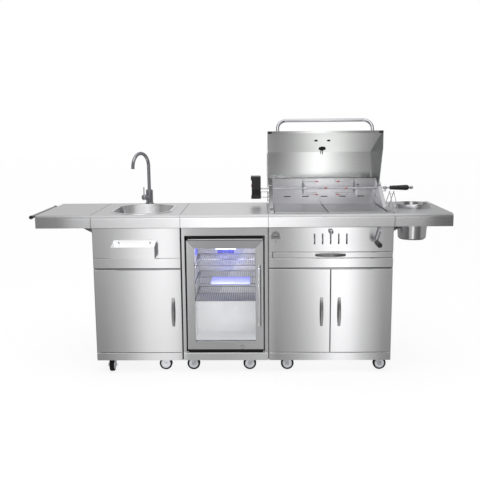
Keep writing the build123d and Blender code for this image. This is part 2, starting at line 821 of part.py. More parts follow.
def fridge_module():
    x0, x1 = x_fridge, x_grill
    left, right = x0 + reveal, x1 - reveal
    post = (plinth_top, fridge_opening_top)
    save("fridge_cabinet", *carcass_panels(x0, x1),
         pan((left, right), (fridge_opening_top, pan_top)),
         pan((left, x0 + post_width), post),
         pan((x1 - post_width, right), post),
         *rear_casters(x0, x1), *caster_heads(x0, x1))
    save("fridge_worktop", worktop(x0, x1))
    save("fridge_housing", *fridge_housing())
    save("fridge_shelves", *[fridge_shelf(z) for z in shelf_levels])
    save("fridge_fan_light", fan_light())
    save("fridge_door_frame", *fridge_door_frame())
    save("fridge_door_glass", fridge_door_glass())
    save("fridge_door_handle", fridge_door_handle())


# Grill module
half_grill = grill_width / 2
cheek_out = half_grill - cheek_margin
cheek_in = cheek_out - cheek_thick
firebox_floor = top_height - firebox_depth
plate_top = top_height + plate_rise
wall_crease = top_height + wall_crease_rise
fire_front = front + firebox_front
fire_back = front + firebox_back
fire_inside = (fire_front + sheet, fire_back)
rod_y, rod_z = front + rod_setback, top_height + rod_height
pivot_y, pivot_z = front + hood_pivot[0], top_height + hood_pivot[1]
shaft_x = x_mid + half_grill - shaft_margin
shaft_height = top_height - shaft_drop
coal_left = cheek_in - coal_left_gap
coal_right = half_grill - shaft_margin - coal_right_gap
coal_floor = firebox_floor + coal_lift
slot_high = top_height - slot_drop
slot_low = slot_high - slot_length
damper_low = slot_low + slot_length / 2
knob_height = damper_low + damper_height - knob_drop
drawer_half = half_grill - drawer_box_margin
drawer_left = half_grill - drawer_left_margin
drawer_floor = drawer_low + drawer_floor_lift
ceiling = drawer_low - ceiling_drop
spit_grip_start = cheek_out + spit_grip_gap
pinion_radius = pinion_module * pinion_teeth / 2
pinion_y = front + pinion_setback


def grill_cabinet():
    x0, x1 = x_grill, x_right
    left, right = x0 + reveal, x1 - reveal
    inside = (x0 + side_gap + sheet, x1 - side_gap - sheet)
    runner_top = drawer_floor - fit_gap
    runners = [block((x_mid + s * (drawer_half - runner_width), x_mid + s * drawer_half),
                     (carcass, carcass + drawer_depth), (ceiling + sheet, runner_top)) for s in (-1, 1)]
    filler = pan((left, x_mid - drawer_left - pan_gap), (drawer_low + pan_gap, drawer_high - pan_gap))
    return [*carcass_panels(x0, x1), *hinge_rail(x0, x1, [x0 + pin_inset, x1 - pin_inset]),
            pan((left, right), (band_low, drawer_low)),
            block(inside, (carcass, rear_panel - sheet), (ceiling, ceiling + sheet)),
            *runners, filler, *rear_casters(x0, x1), *caster_heads(x0, x1)]


def slot_places():
    """Middle lines of the air slots."""
    middle = (slot_count - 1) / 2
    return [(i == middle, x_mid + slot_offset + (i - middle) * slot_pitch) for i in range(slot_count)]


def grill_front_panel():
    """Front pan with its air slots and crank hole, and the two guides of the damper."""
    x = (x_grill + reveal, x_right - reveal)
    panel = pan(x, (drawer_high, pan_top))
    for is_middle, place in slot_places():
        high = knob_height + knob_slot_room if is_middle else slot_high
        cut = block((place - slot_width / 2, place + slot_width / 2), (face - 1, face + 2 * skin),
                    (slot_low, high))
        panel -= fillet(cut.edges().filter_by(Axis.Y), 0.45 * slot_width)
    panel -= rod((shaft_x, face - 1, shaft_height), (shaft_x, face + 2 * skin, shaft_height),
                 shaft_radius + running_gap)
    guides = []
    for s in (-1, 1):
        edge = x_mid + slot_offset + s * (damper_side + fit_gap)
        levels = (slot_low, pan_top - 2 * skin)
        spacer = block((edge, edge + s * 10), (face + skin, face + 2 * skin + 2 * fit_gap), levels)
        keeper = block((edge - s * 8, edge + s * 10),
                       (face + 2 * skin + 2 * fit_gap, face + 3 * skin + 2 * fit_gap), levels)
        guides.append(spacer + keeper)
    return [panel, *guides]


def vent_damper():
    x = x_mid + slot_offset
    y = face + skin + fit_gap
    plate = block((x - damper_side, x + damper_side), (y, y + skin), (damper_low, damper_low + damper_height))
    stem = rod((x, y, knob_height), (x, face - 2 * knob_radius, knob_height), stem_radius)
    ball = Pos(x, face - 2 * knob_radius, knob_height) * Sphere(knob_radius)
    return plate + stem + ball


def bottle_opener():
    x, z = x_grill + opener_inset, pan_top - opener_drop
    half, tall = opener_width / 2, opener_tall / 2
    root = face - opener_sheet
    tip = root - opener_reach
    plate = block((x - half, x + half), (root, face), (z - tall, z + tall))
    plate = fillet(plate.edges().filter_by(Axis.Y), opener_round)
    mouth = Plane.XZ.offset(-root) * (Pos(x, z) * (Circle(opener_outer) - Circle(opener_inner)))
    arch = extrude(mouth, opener_reach)
    arch -= block((x - half, x + half), (tip, root), (z - tall - opener_cut, z - opener_cut))
    brow = block((x - half, x + half), (tip, tip + 2 * sheet), (z - opener_cut, z + 2 * sheet))
    tongue = brow & rod((x, tip, z), (x, root, z), opener_outer)
    return plate + arch + tongue


def grill_worktop():
    top = worktop(x_grill, x_right)
    opening = block((x_mid - cheek_in - sheet, x_mid + cheek_in + sheet),
                    (fire_front + sheet, fire_back + wall_lean + 2 * sheet), (apron_low, top_height + sheet))
    return top - opening


def cheek(side):
    """A hollow cheek on the worktop, open below, notched for the spit rod."""
    x0, x1 = x_mid + side * cheek_in, x_mid + side * cheek_out
    rear = fire_back + wall_lean + 2 * sheet
    start = fire_front + 14
    points = [(start, top_height), (rear, top_height), (rear, top_height + cheek_rear_height),
              (front + cheek_step, top_height + cheek_front_height), (start, top_height + cheek_front_height)]
    body = prism_x(points, min(x0, x1), max(x0, x1))
    inner = [(start + sheet, top_height - 1), (rear - sheet, top_height - 1),
             (rear - sheet, top_height + cheek_rear_height - 2 * sheet),
             (front + cheek_step + sheet / 2, top_height + cheek_front_height - sheet),
             (start + sheet, top_height + cheek_front_height - sheet)]
    body -= prism_x(inner, min(x0, x1) + sheet, max(x0, x1) - sheet)
    play = rod_radius + 2 * fit_gap
    notch = block((x0, x1), (rod_y - play, rod_y + play), (rod_z, top_height + 2 * cheek_rear_height))
    notch += rod((min(x0, x1), rod_y, rod_z), (max(x0, x1), rod_y, rod_z), play)
    body -= notch
    hole = rod((min(x0, x1), pivot_y, pivot_z), (max(x0, x1), pivot_y, pivot_z), bolt_radius)
    return body - hole


def hood_bolt(side):
    """Pivot bolt through one cheek, with its head inside the firebox."""
    head = (x_mid + side * (cheek_in - 5), pivot_y, pivot_z)
    inner = (x_mid + side * cheek_in, pivot_y, pivot_z)
    tip = (x_mid + side * (cheek_out + hood_play + lug_thick), pivot_y, pivot_z)
    return rod(head, inner, 1.8 * bolt_radius) + rod(inner, tip, bolt_radius)


def back_wall():
    """Firebox back with its crease and two rows of slots."""
    line = [(fire_back, firebox_floor), (fire_back, wall_crease),
            (fire_back + wall_lean, top_height + wall_rise)]
    wall = prism_x(folded(line[::-1], sheet), x_mid - cheek_in, x_mid + cheek_in)
    for z in (wall_crease - 34, wall_crease + 20):
        for i in range(vent_count):
            x = x_mid + (i - (vent_count - 1) / 2) * vent_pitch
            slot = block((x - vent_length / 2, x + vent_length / 2), (fire_back - 10, fire_back + 20),
                         (z - vent_width / 2, z + vent_width / 2))
            wall -= fillet(slot.edges().filter_by(Axis.Y), 0.45 * vent_width)
    return wall


def firebox():
    inner = cheek_in
    front_wall = block((x_mid - inner - sheet, x_mid + inner + sheet), (fire_front, fire_front + sheet),
                       (firebox_floor, under_top))
    front_wall -= rod((shaft_x, fire_front, shaft_height), (shaft_x, fire_front + sheet, shaft_height),
                      shaft_radius + running_gap)
    floor = block((x_mid - inner, x_mid + inner), fire_inside, (firebox_floor, firebox_floor + sheet))
    step = (fire_inside[1] - fire_inside[0]) / (ash_slot_count + 1)
    for i in range(1, ash_slot_count + 1):
        y = fire_inside[0] + i * step
        floor -= block((x_mid - inner / 2, x_mid + inner / 2),
                       (y - ash_slot_width / 2, y + ash_slot_width / 2),
                       (firebox_floor, firebox_floor + sheet))
    behind = fire_back + wall_lean + baffle_room
    baffle = block((x_mid - inner, x_mid + inner), (behind, behind + baffle_sheet),
                   (wall_crease - baffle_drop, wall_crease + baffle_rise))
    pieces = [front_wall, floor, back_wall(), baffle]
    shelf = plate_top - plate_rim
    for y0, y1 in ((fire_inside[0], fire_inside[0] + ledge_width), (fire_back - ledge_width, fire_back)):
        pieces.append(block((x_mid - inner, x_mid + inner), (y0, y1), (shelf - sheet, shelf)))
    for side in (-1, 1):
        wall = (x_mid + side * inner, x_mid + side * (inner + sheet))
        pieces.append(block(wall, (fire_inside[0], fire_back + sheet), (firebox_floor, top_height)))
        pieces.append(cheek(side))
        pieces.append(hood_bolt(side))
    for x in guide_places():
        y, top = front + guide_depth, shelf - 3 * sheet
        pieces.append(rod((x, y, firebox_floor + sheet), (x, y, top), guide_radius))
    return pieces


def guide_places():
    """X of the two guide rods beside the charcoal tray."""
    return (x_mid - coal_left - guide_offset, x_mid + coal_right + guide_offset)


def cooking_plates():
    half = cheek_in - 2 * sheet
    y = (fire_inside[0] + sheet, fire_back - 2 * sheet)
    plates = []
    for s in (-1, 1):
        x = (x_mid + plate_shift + s * plate_gap / 2, x_mid + s * half)
        plate = block(x, y, (plate_top - plate_rim, plate_top))
        plate = fillet(plate.faces().sort_by(Axis.Z)[-1].edges(), 3)
        wall = 2 * sheet
        hollow = block((min(x) + wall, max(x) - wall), (y[0] + wall, y[1] - wall),
                       (plate_top - plate_rim, plate_top - wall))
        plate -= hollow
        middle = y[0] + plate_slot_setback
        step = (max(x) - min(x)) / plate_slots
        for i in range(plate_slots):
            place = min(x) + (i + 0.5) * step
            slot = block((place - plate_slot_length / 2, place + plate_slot_length / 2),
                         (middle - plate_slot_width / 2, middle + plate_slot_width / 2),
                         (plate_top - plate_rim, plate_top))
            plate -= fillet(slot.edges().filter_by(Axis.Z), 0.45 * plate_slot_width)
        plates.append(plate)
    return plates


def rack_bar():
    """Toothed bar on the charcoal tray; a tooth space faces the shaft at rest."""
    pitch = pi * pinion_module
    line = shaft_x - pinion_radius
    slope = tan(radians(pressure_angle))
    dedendum = 1.25 * pinion_module
    half = pitch / 4 - backlash / 2
    root, tip = line - dedendum, line + rack_addendum
    low = shaft_height - coal_travel - pitch
    high = shaft_height + 0.8 * pitch
    count = int((shaft_height - low) / pitch)
    points = [(x_mid + coal_right, high), (x_mid + coal_right, low), (root, low)]
    for i in range(-count, 1):
        z = shaft_height + (i + 0.5) * pitch
        points += [(root, z - half - dedendum * slope), (tip, z - half + rack_addendum * slope),
                   (tip, z + half - rack_addendum * slope), (root, z + half + dedendum * slope)]
    points += [(root, high)]
    outline = Plane.XZ.offset(-pinion_y) * make_face(Polyline(*points, close=True))
    return extrude(outline, pinion_width / 2, both=True)


def charcoal_tray():
    x = (x_mid - coal_left, x_mid + coal_right)
    y = (front + coal_front, front + coal_back)
    tray = block(x, y, (coal_floor, coal_floor + coal_wall))
    tray -= block((x[0] + sheet, x[1] - sheet), (y[0] + sheet, y[1] - sheet),
                  (coal_floor + sheet, coal_floor + coal_wall))
    step = (y[1] - y[0]) / (ash_slot_count + 1)
    for i in range(1, ash_slot_count + 1):
        slot = y[0] + i * step
        tray -= block((x[0] + ash_slot_margin, x[1] - ash_slot_margin),
                      (slot - ash_slot_width / 2, slot + ash_slot_width / 2),
                      (coal_floor, coal_floor + sheet))
    middle, coal_rim = front + guide_depth, coal_floor + coal_wall
    for place, wall in zip(guide_places(), x):
        ring = block((wall, place + (place - wall) * collar / guide_offset),
                     (middle - collar, middle + collar), (coal_floor, coal_rim))
        ring -= rod((place, middle, coal_floor), (place, middle, coal_rim), guide_radius + running_gap)
        tray += ring
    return tray + rack_bar()


def pinion():
    """Ten involute teeth about the crank shaft, a tooth towards the rack at rest."""
    r, n, m = pinion_radius, pinion_teeth, pinion_module
    base = r * cos(radians(pressure_angle))
    tip, root = r + 0.9 * m, r - rack_addendum - 0.25 * m
    involute = tan(radians(pressure_angle)) - radians(pressure_angle)
    half_pitch = pi / (2 * n) - backlash / (2 * r)

    def half_angle(radius):
        turn = acos(min(1.0, base / radius))
        return half_pitch + involute - (tan(turn) - turn)

    radii = [root, max(base, root + 0.1), r, (r + tip) / 2, tip]
    points = []
    for i in range(n):
        middle = pi + 2 * pi * i / n
        points += [(q * cos(middle - half_angle(q)), q * sin(middle - half_angle(q))) for q in radii]
        points += [(q * cos(middle + half_angle(q)), q * sin(middle + half_angle(q))) for q in radii[::-1]]
    outline = Plane(origin=(shaft_x, pinion_y, shaft_height), x_dir=(1, 0, 0), z_dir=(0, -1, 0)) \
        * make_face(Polyline(*points, close=True))
    return extrude(outline, pinion_width / 2, both=True)


def crank():
    y = face - crank_stand
    end = (shaft_x - crank_side, y, shaft_height - crank_drop)
    piece = rod((shaft_x, y, shaft_height), (shaft_x, pinion_y + pinion_width, shaft_height), shaft_radius)
    piece += rod((shaft_x, y - 1.5 * arm_radius, shaft_height), (shaft_x, y + 2 * arm_radius, shaft_height),
                 1.7 * arm_radius)
    piece += rod((shaft_x, y, shaft_height), end, arm_radius)
    piece += rod((end[0], y + 1.4 * arm_radius, end[2]), (end[0], y - 2 * arm_radius, end[2]),
                 1.4 * arm_radius)
    piece += pinion()
    start = y - 2 * arm_radius
    r, rib = grip_radius, grip_length / grip_ribs
    outline = [(0, 0), (r - 2, 0)]
    for i in range(grip_ribs):
        outline += [(r, i * rib + 2), (r, (i + 1) * rib - 4), (r - 2, (i + 1) * rib - 2)]
    outline += [(r - 3, grip_length), (0, grip_length)]
    grip = turned(outline, (end[0], start, end[2]), (0, -1, 0))
    return [piece, grip]


def ash_drawer():
    x = (x_mid - drawer_left, x_right - drawer_right_margin)
    strip = pan(x, (drawer_low + pan_gap, drawer_high - pan_gap), face, door_thick)
    y = (face + door_thick, face + door_thick + drawer_depth)
    inside = (x_mid - drawer_half, x_mid + drawer_half)
    top = drawer_high - drawer_box_set
    box = block(inside, y, (drawer_floor, top))
    box -= block((inside[0] + sheet, inside[1] - sheet), (y[0] + sheet, y[1] - sheet),
                 (drawer_floor + sheet, top))
    middle = (drawer_low + drawer_high) / 2
    handle = Rot(0, 90, 0) * bow(drawer_handle, drawer_handle_stand)
    return [strip, box, Pos(x_mid + slot_offset, face, middle) * handle]


def grill_door(side):
    edge = x_grill if side < 0 else x_right
    outer = edge - side * door_side
    inner = x_mid + side * door_side / 2
    panel = door((min(outer, inner), max(outer, inner)), (door_low, door_top), edge - side * pin_inset)
    handle = Pos(x_mid + side * handle_inset, face, handle_middle) * bow(handle_length, handle_stand)
    return [panel, handle]


# The hood is drawn closed and turned about its bolts to its open rest
hood_axis = Axis((x_mid, pivot_y, pivot_z), (1, 0, 0))
end_inner = cheek_out + hood_play + lug_thick
end_outer = end_inner + sheet


def hood_place(point):
    return (front + point[0], top_height + point[1])


def opened(piece):
    return piece.rotate(hood_axis, -hood_open)


facet = Vector(hood_crest[0] - hood_lip[0], hood_crest[1] - hood_lip[1]).normalized()
facet_out = Vector(-facet.Y, facet.X)


def on_facet(up, out, x=0.0):
    """A point given by its distances along and out of the closed hood's front facet."""
    y, z = hood_place(hood_lip)
    return (x_mid + x, y + facet.X * up + facet_out.X * out, z + facet.Y * up + facet_out.Y * out)


def hood():
    lip, crest, roof, rear = [hood_place(p) for p in (hood_lip, hood_crest, hood_roof, hood_rear)]
    hem = (lip[0] + hood_hem, lip[1])
    profile = folded([rear, roof, crest, lip, hem], sheet)
    shell = prism_x(profile, x_mid - end_outer, x_mid + end_outer)
    side = [lip, hood_place(hood_flat), hood_place(hood_notch), rear, roof, crest]
    lugs = []
    for s in (-1, 1):
        ends = (x_mid + s * end_inner, x_mid + s * end_outer)
        shell += prism_x(side, min(ends), max(ends))
        lug = Plane.YZ * make_hull([
            *(Pos(pivot_y, pivot_z) * Circle(lug_radius)).edges(),
            *(Pos(pivot_y - 8, rear[1] - 20) * Circle(lug_radius / 2)).edges(),
            *(Pos(pivot_y + 18, rear[1] - 12) * Circle(lug_radius / 2)).edges()])
        inner = x_mid + s * (cheek_out + hood_play)
        plate = Pos(min(inner, ends[0]), 0, 0) * extrude(lug, lug_thick)
        plate -= rod((inner, pivot_y, pivot_z), (ends[0], pivot_y, pivot_z), bolt_radius + running_gap)
        lugs.append(plate)
    hole = rod(on_facet(dial_up, -3 * sheet), on_facet(dial_up, sheet), dial_stem)
    return [opened(piece) for piece in (shell - hole, *lugs)]


def hood_handle():
    half, bend = hood_grip_length / 2, hood_grip_bend
    base = [on_facet(hood_grip_up, 0, s * half) for s in (-1, 1)]
    top = [on_facet(hood_grip_up, hood_grip_stand, s * half) for s in (-1, 1)]
    path = FilletPolyline(base[0], top[0], top[1], base[1], radius=bend)
    aim = Vector(*top[0]) - Vector(*base[0])
    tube = sweep(Plane(origin=base[0], z_dir=aim) * Circle(hood_grip_tube), path=path)
    for foot in base:
        end = Vector(*foot) + aim.normalized() * 5
        tube += rod(foot, (end.X, end.Y, end.Z), 1.7 * hood_grip_tube)
    return opened(tube)


def thermometer():
    r, t = dial_radius, dial_thick
    place = on_facet(dial_up, 0)
    out = (0, facet_out.X, facet_out.Y)
    dial = turned([(0, 0), (r - 5, 0), (r, 3), (r, t - 2), (r - 2, t), (r - 5, t), (r - 6, t - 3),
                   (0, t - 3)], place, out)
    low = -sheet - dial_nut_thick
    nut = turned([(0, -sheet), (dial_nut, -sheet), (dial_nut - 2, low), (0, low)], place, out)
    stem = rod(place, on_facet(dial_up, -dial_stem_length), dial_stem)
    return opened(dial + nut + stem)


# Rotisserie
def spit_brackets():
    """Arms from the cheeks to the motor on the left and to the open hook on the right."""
    levels = (pivot_z, pivot_z + arm_rise)
    tall = (pivot_z, pivot_z + arm_rise + arm_bar)
    y = (rod_y - arm_setback, rod_y - arm_setback + arm_width)
    left_cheek, right_cheek = x_mid - cheek_out, x_mid + cheek_out
    motor_face = left_cheek - motor_gap
    left = block((left_cheek, left_cheek - hood_play + fit_gap), y, tall)
    left += block((motor_face, motor_face + arm_bar), y, tall)
    hook = x_mid + end_outer + hook_reach
    thick = (hook, hook + hook_thick)
    right = block((right_cheek, right_cheek + hood_play - fit_gap), y, (levels[1] - arm_width, tall[1]))
    right += block((right_cheek, thick[1]), y, (levels[1], tall[1]))
    plate = block(thick, (y[0], rod_y + 2 * bushing_radius), (levels[1], rod_z + bushing_radius))
    slot = rod((hook, rod_y, rod_z), (hook + hook_thick, rod_y, rod_z), bushing_radius + running_gap)
    slot += block(thick, (rod_y - bushing_radius, rod_y + bushing_radius),
                  (rod_z, rod_z + 2 * bushing_radius))
    right += plate - slot
    for z in levels:
        left += block((motor_face, left_cheek), y, (z, z + arm_bar))
    return [left, right]


def rotisserie_motor():
    x1 = x_mid - cheek_out - motor_gap
    x0 = x1 - motor_width
    y = (rod_y - motor_depth / 2, rod_y + motor_depth / 2)
    low, high = top_height + motor_low, top_height + motor_high
    body = block((x0 + 3, x1), y, (low + 14, high - motor_cap))
    body = fillet(body.edges().filter_by(Axis.Z), 6)
    cap = block((x0 - 2, x1), (y[0] - 3, y[1] + 3), (high - motor_cap, high))
    cap = fillet(cap.faces().sort_by(Axis.Z)[-1].edges(), 5)
    foot = block((x0, x1), (y[0] - 2, y[1] + 2), (low, low + 14))
    foot = fillet(foot.edges().filter_by(Axis.Z), 6)
    socket = rod((x1, rod_y, rod_z), (x1 - socket_depth, rod_y, rod_z), rod_end + running_gap)
    return body + cap + foot - socket


def spit_rod():
    start = x_mid - cheek_out - motor_gap
    end = x_mid + spit_grip_start
    bar = rod((start + fit_gap, rod_y, rod_z), (end, rod_y, rod_z), rod_radius)
    bar += rod((start + fit_gap, rod_y, rod_z), (start - socket_depth + 2, rod_y, rod_z), rod_end)
    hook = x_mid + end_outer + hook_reach + hook_thick / 2
    half = bushing_length / 2
    ring = rod((hook - half, rod_y, rod_z), (hook + half, rod_y, rod_z), bushing_radius)
    return bar + ring


def spit_fork(place, way, lengths):
    """Fork with two spread prongs and two close ones, clamped to the rod by a thumbscrew."""
    x = x_mid + place
    hub = rod((x - hub_length / 2, rod_y, rod_z), (x + hub_length / 2, rod_y, rod_z), hub_radius)
    b = fork_bar
    hub += block((x - b, x + b), (rod_y - b, rod_y + b), (rod_z - prong_spread - b, rod_z + prong_spread + b))
    hub += block((x - b, x + b), (rod_y - prong_side - b, rod_y + prong_side + b), (rod_z - b, rod_z + b))
    for dy, dz, length in ((0, prong_spread, lengths[0]), (0, -prong_spread, lengths[0]),
                           (prong_side, 0, lengths[1]), (-prong_side, 0, lengths[1])):
        points = [(0, 0), (prong_radius, 0), (prong_radius, length - prong_point), (0, length)]
        hub += turned(points, (x, rod_y + dy, rod_z + dz), (way, 0, 0))
    screw = (x - way * hub_length / 4, rod_y, rod_z)
    aim = Vector(0, -0.5, 0.87)
    tip = Vector(*screw) + aim * screw_length
    hub += rod(screw, (tip.X, tip.Y, tip.Z), screw_radius)
    head = Vector(*screw) + aim * (screw_length - screw_head)
    hub += rod((head.X, head.Y, head.Z), (tip.X, tip.Y, tip.Z), screw_head_radius)
    return hub - rod((x - hub_length, rod_y, rod_z), (x + hub_length, rod_y, rod_z), rod_radius)


def spit_grip():
    a, b, n = spit_grip_small, spit_grip_large, spit_grip_length
    points = [(0, 0), (a - 2, 0), (a, 4), (b, n - 14), (b - 3, n - 4), (6, n), (6, n + 5),
              (10, n + 7), (10, n + 20), (7, n + 24), (0, n + 24)]
    return turned(points, (x_mid + spit_grip_start, rod_y, rod_z), (1, 0, 0))


def wire_rack():
    """Two wire trestles from front to back on beads, joined by cross wires."""
    x0 = x_right + rack_inset + rack_wire
    x1 = x0 + rack_width
    y0 = front + rack_setback
    y1 = y0 + rack_spread
    z = top_height + rack_bead
    middle = (y0 + y1) / 2
    places = [(x, y) for x in (x0, x1) for y in (y0, y1)]
    rack = [Pos(x, middle, z + rack_height) * Sphere(rack_bead) for x in (x0, x1)]
    rack += [Pos(x, y, z) * Sphere(rack_bead) for x, y in places]
    for x, y in places:
        rack.append(rod((x, y, z), (x, middle, z + rack_height), rack_wire))
    whole = rack[0].fuse(*rack[1:])
    for y in (y0, y1):
        whole += rod((x0, y, z), (x1, y, z), rack_wire)
    y, level = y0 + (middle - y0) * rack_cross, z + rack_height * rack_cross
    return whole + rod((x0, y, level), (x1, y, level), 0.8 * rack_wire)


def grill_module():
    save("grill_cabinet", *grill_cabinet())
    save("grill_worktop", grill_worktop())
    save("grill_front_panel", *grill_front_panel())
    save("vent_damper", vent_damper())
    save("bottle_opener", bottle_opener())
    save("firebox", *firebox())
    save("cooking_plates", *cooking_plates())
    save("charcoal_tray", charcoal_tray())
    save("crank", *crank())
    save("ash_drawer", *ash_drawer())
    save("grill_door_left", *grill_door(-1))
    save("grill_door_right", *grill_door(1))
    save("hood", *hood())
    save("hood_handle", hood_handle())
    save("thermometer", thermometer())
    save("spit_brackets", *spit_brackets())
    save("rotisserie_motor", rotisserie_motor())
    save("spit_rod", spit_rod())
    save("spit_forks", spit_fork(fork_left, 1, fork_left_prongs),
         spit_fork(fork_right, -1, fork_right_prongs))
    save("spit_grip", spit_grip())
    save("wire_rack", wire_rack())


# Casters
bridge_top = plinth_top - bridge_drop
leg_inner = wheel_width / 2 + fork_side_gap
leg_outer = leg_inner + fork_plate


def swivel_places(x0, x1):
    """Swivel axes of a module's two front casters."""
    y = face + caster_front
    return [(x0 + caster_inset, y), (x1 - caster_inset, y)]


def rear_places(x0, x1):
    y = back - caster_rear
    return [(x0 + caster_inset, y), (x1 - caster_inset, y)]


def caster_heads(x0, x1):
    """Plates with race and kingpin for the front casters."""
    heads = []
    for x, y in swivel_places(x0, x1):
        half = caster_plate / 2
        under = plinth_top - caster_plate_thick
        head = block((x - half, x + half), (y - half, y + half), (under, plinth_top))
        head = fillet(head.edges().filter_by(Axis.Z), 6)
        head += rod((x, y, under), (x, y, bridge_top + fit_gap), race_radius)
        low = bridge_top - bridge_thick - fit_gap
        head += rod((x, y, bridge_top + fit_gap), (x, y, low), kingpin_radius)
        heads.append(head + rod((x, y, low), (x, y, low - 6), 1.6 * kingpin_radius))
    return heads


def yoke(trail, top):
    """Two legs and an axle, drawn rolling along X with the axle along Y."""
    legs = None
    for s in (-1, 1):
        outline = make_hull([*(Pos(trail, wheel_radius) * Circle(2.2 * axle_radius)).edges(),
                             *(Pos(0, top - 6) * Rectangle(2 * race_radius + 8, 12)).edges()])
        y0, y1 = s * leg_inner, s * leg_outer
        leg = extrude(Plane.XZ.offset(-min(y0, y1)) * outline, fork_plate, dir=(0, 1, 0))
        legs = leg if legs is None else legs + leg
    nut = leg_outer + 5
    legs += rod((trail, -nut, wheel_radius), (trail, nut, wheel_radius), axle_radius)
    for s in (-1, 1):
        legs += rod((trail, s * leg_outer, wheel_radius), (trail, s * nut, wheel_radius), 1.7 * axle_radius)
    return legs


def swivel_fork():
    half = race_radius + 4
    bridge = block((-half, half), (-leg_outer, leg_outer), (bridge_top - bridge_thick, bridge_top))
    bridge -= rod((0, 0, bridge_top - 2 * bridge_thick), (0, 0, bridge_top), kingpin_radius + running_gap)
    return bridge + yoke(caster_trail, bridge_top)


def rear_casters(x0, x1):
    """Rigid brackets under a module's back, rolling to front and back."""
    half = race_radius + 4
    plate = block((-half, half), (-leg_outer, leg_outer), (plinth_top - caster_plate_thick, plinth_top))
    bracket = Rot(0, 0, 90) * (plate + yoke(0, plinth_top))
    return [Pos(x, y, 0) * bracket for x, y in rear_places(x0, x1)]


def wheel():
    """Tyre and hub about the Y axis through the origin."""
    r, w, hub = wheel_radius, wheel_width / 2, wheel_radius - tyre_thick
    tyre_points = [(hub, -w + 2), (r - 3, -w + 2), (r, -w + 6), (r, w - 6), (r - 3, w - 2), (hub, w - 2)]
    bore, side = axle_radius + running_gap, hub_width / 2
    half_hub = [(bore, w), (bore + 7, w), (bore + 8, side - 4),
                (hub - 5, side - 4), (hub - 3, side), (hub, side)]
    hub_points = [(q, -h) for q, h in half_hub] + half_hub[::-1]
    return [turned(points, (0, 0, 0), (0, 1, 0)) for points in (tyre_points, hub_points)]


# Direction of each front caster, degrees from +X, as the photograph shows them standing
caster_turns = {"sink": (270.0, 180.0), "fridge": (180.0, 180.0), "grill": (0.0, 0.0)}


def caster_set(module, x0, x1):
    tyre, hub = wheel()
    for side, (x, y), turn in zip(("left", "right"), swivel_places(x0, x1), caster_turns[module]):
        place = Pos(x, y, 0) * Rot(0, 0, turn)
        save(f"{module}_caster_fork_{side}", place * swivel_fork())
        spot = place * Pos(caster_trail, 0, wheel_radius)
        save(f"{module}_caster_wheel_{side}", spot * tyre, spot * hub)
    for side, (x, y) in zip(("left", "right"), rear_places(x0, x1)):
        spot = Pos(x, y, wheel_radius) * Rot(0, 0, 90)
        save(f"{module}_rear_wheel_{side}", spot * tyre, spot * hub)


sink_module()
side_shelves()
fridge_module()
grill_module()
caster_set("sink", x_sink, x_fridge)
caster_set("fridge", x_fridge, x_grill)
caster_set("grill", x_grill, x_right)
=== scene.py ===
# %% [markdown]
# # An outdoor kitchen in stainless steel
# The real object is a row of three sheet steel cabinets on casters, with a shelf at each end:
# a sink, a fridge with a glass door, and a charcoal grill with a hood and a spit.
# The solids come from the CAD frame and stay where they are. This lesson lights them in a small
# studio, gives them their finishes, and adds the trim that the solids leave out: lamps and wires
# in the fridge, a seal and a lock on its door, screws, red prong tips, plugs and a dial.

# %% Load the frame
import json
from math import cos, pi, radians, sin

import bmesh
import bpy
from mathutils import Matrix, Vector


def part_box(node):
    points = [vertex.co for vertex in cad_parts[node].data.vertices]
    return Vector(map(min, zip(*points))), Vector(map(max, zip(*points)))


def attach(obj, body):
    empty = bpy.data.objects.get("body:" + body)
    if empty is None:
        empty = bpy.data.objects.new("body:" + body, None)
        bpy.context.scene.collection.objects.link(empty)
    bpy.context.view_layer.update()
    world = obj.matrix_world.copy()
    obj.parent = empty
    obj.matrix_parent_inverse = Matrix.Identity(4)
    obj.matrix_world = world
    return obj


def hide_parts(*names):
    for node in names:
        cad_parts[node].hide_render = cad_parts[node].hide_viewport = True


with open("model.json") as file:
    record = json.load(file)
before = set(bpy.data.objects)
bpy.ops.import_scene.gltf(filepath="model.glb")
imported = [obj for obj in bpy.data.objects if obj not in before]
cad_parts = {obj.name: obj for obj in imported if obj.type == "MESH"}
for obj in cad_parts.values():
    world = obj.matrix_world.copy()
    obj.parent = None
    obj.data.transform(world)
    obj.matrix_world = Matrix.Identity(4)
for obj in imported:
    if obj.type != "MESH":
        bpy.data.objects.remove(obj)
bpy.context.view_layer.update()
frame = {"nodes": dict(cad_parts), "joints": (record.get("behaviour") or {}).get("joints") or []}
nodes = frame["nodes"]
joints = {joint["name"]: joint for joint in frame["joints"]}
root = "kitchen"
mm = 0.001

# %% [markdown]
# ## The camera
# The photograph was taken from the front, a little above the worktops. A camera could be set by
# eye, but then the edges would miss by a few pixels. Its lens and place were fitted to the edges
# of the cabinets instead, so the render lines up with the photograph. The place is given from the
# left shelf's top corner. The camera's own three directions are built from a turn to the side, a
# tilt down and a small roll.

# %% Camera
frame_pixels = 480
focal_pixels = 698.2
shelf_near, shelf_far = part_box("left_shelf")
camera_offset = Vector((1.23415, -3.8489, 0.5008))
camera_place = Vector((shelf_near.x, shelf_near.y, shelf_far.z)) + camera_offset
camera_yaw, camera_tilt, camera_roll = -0.02253, 0.16564, -0.00931

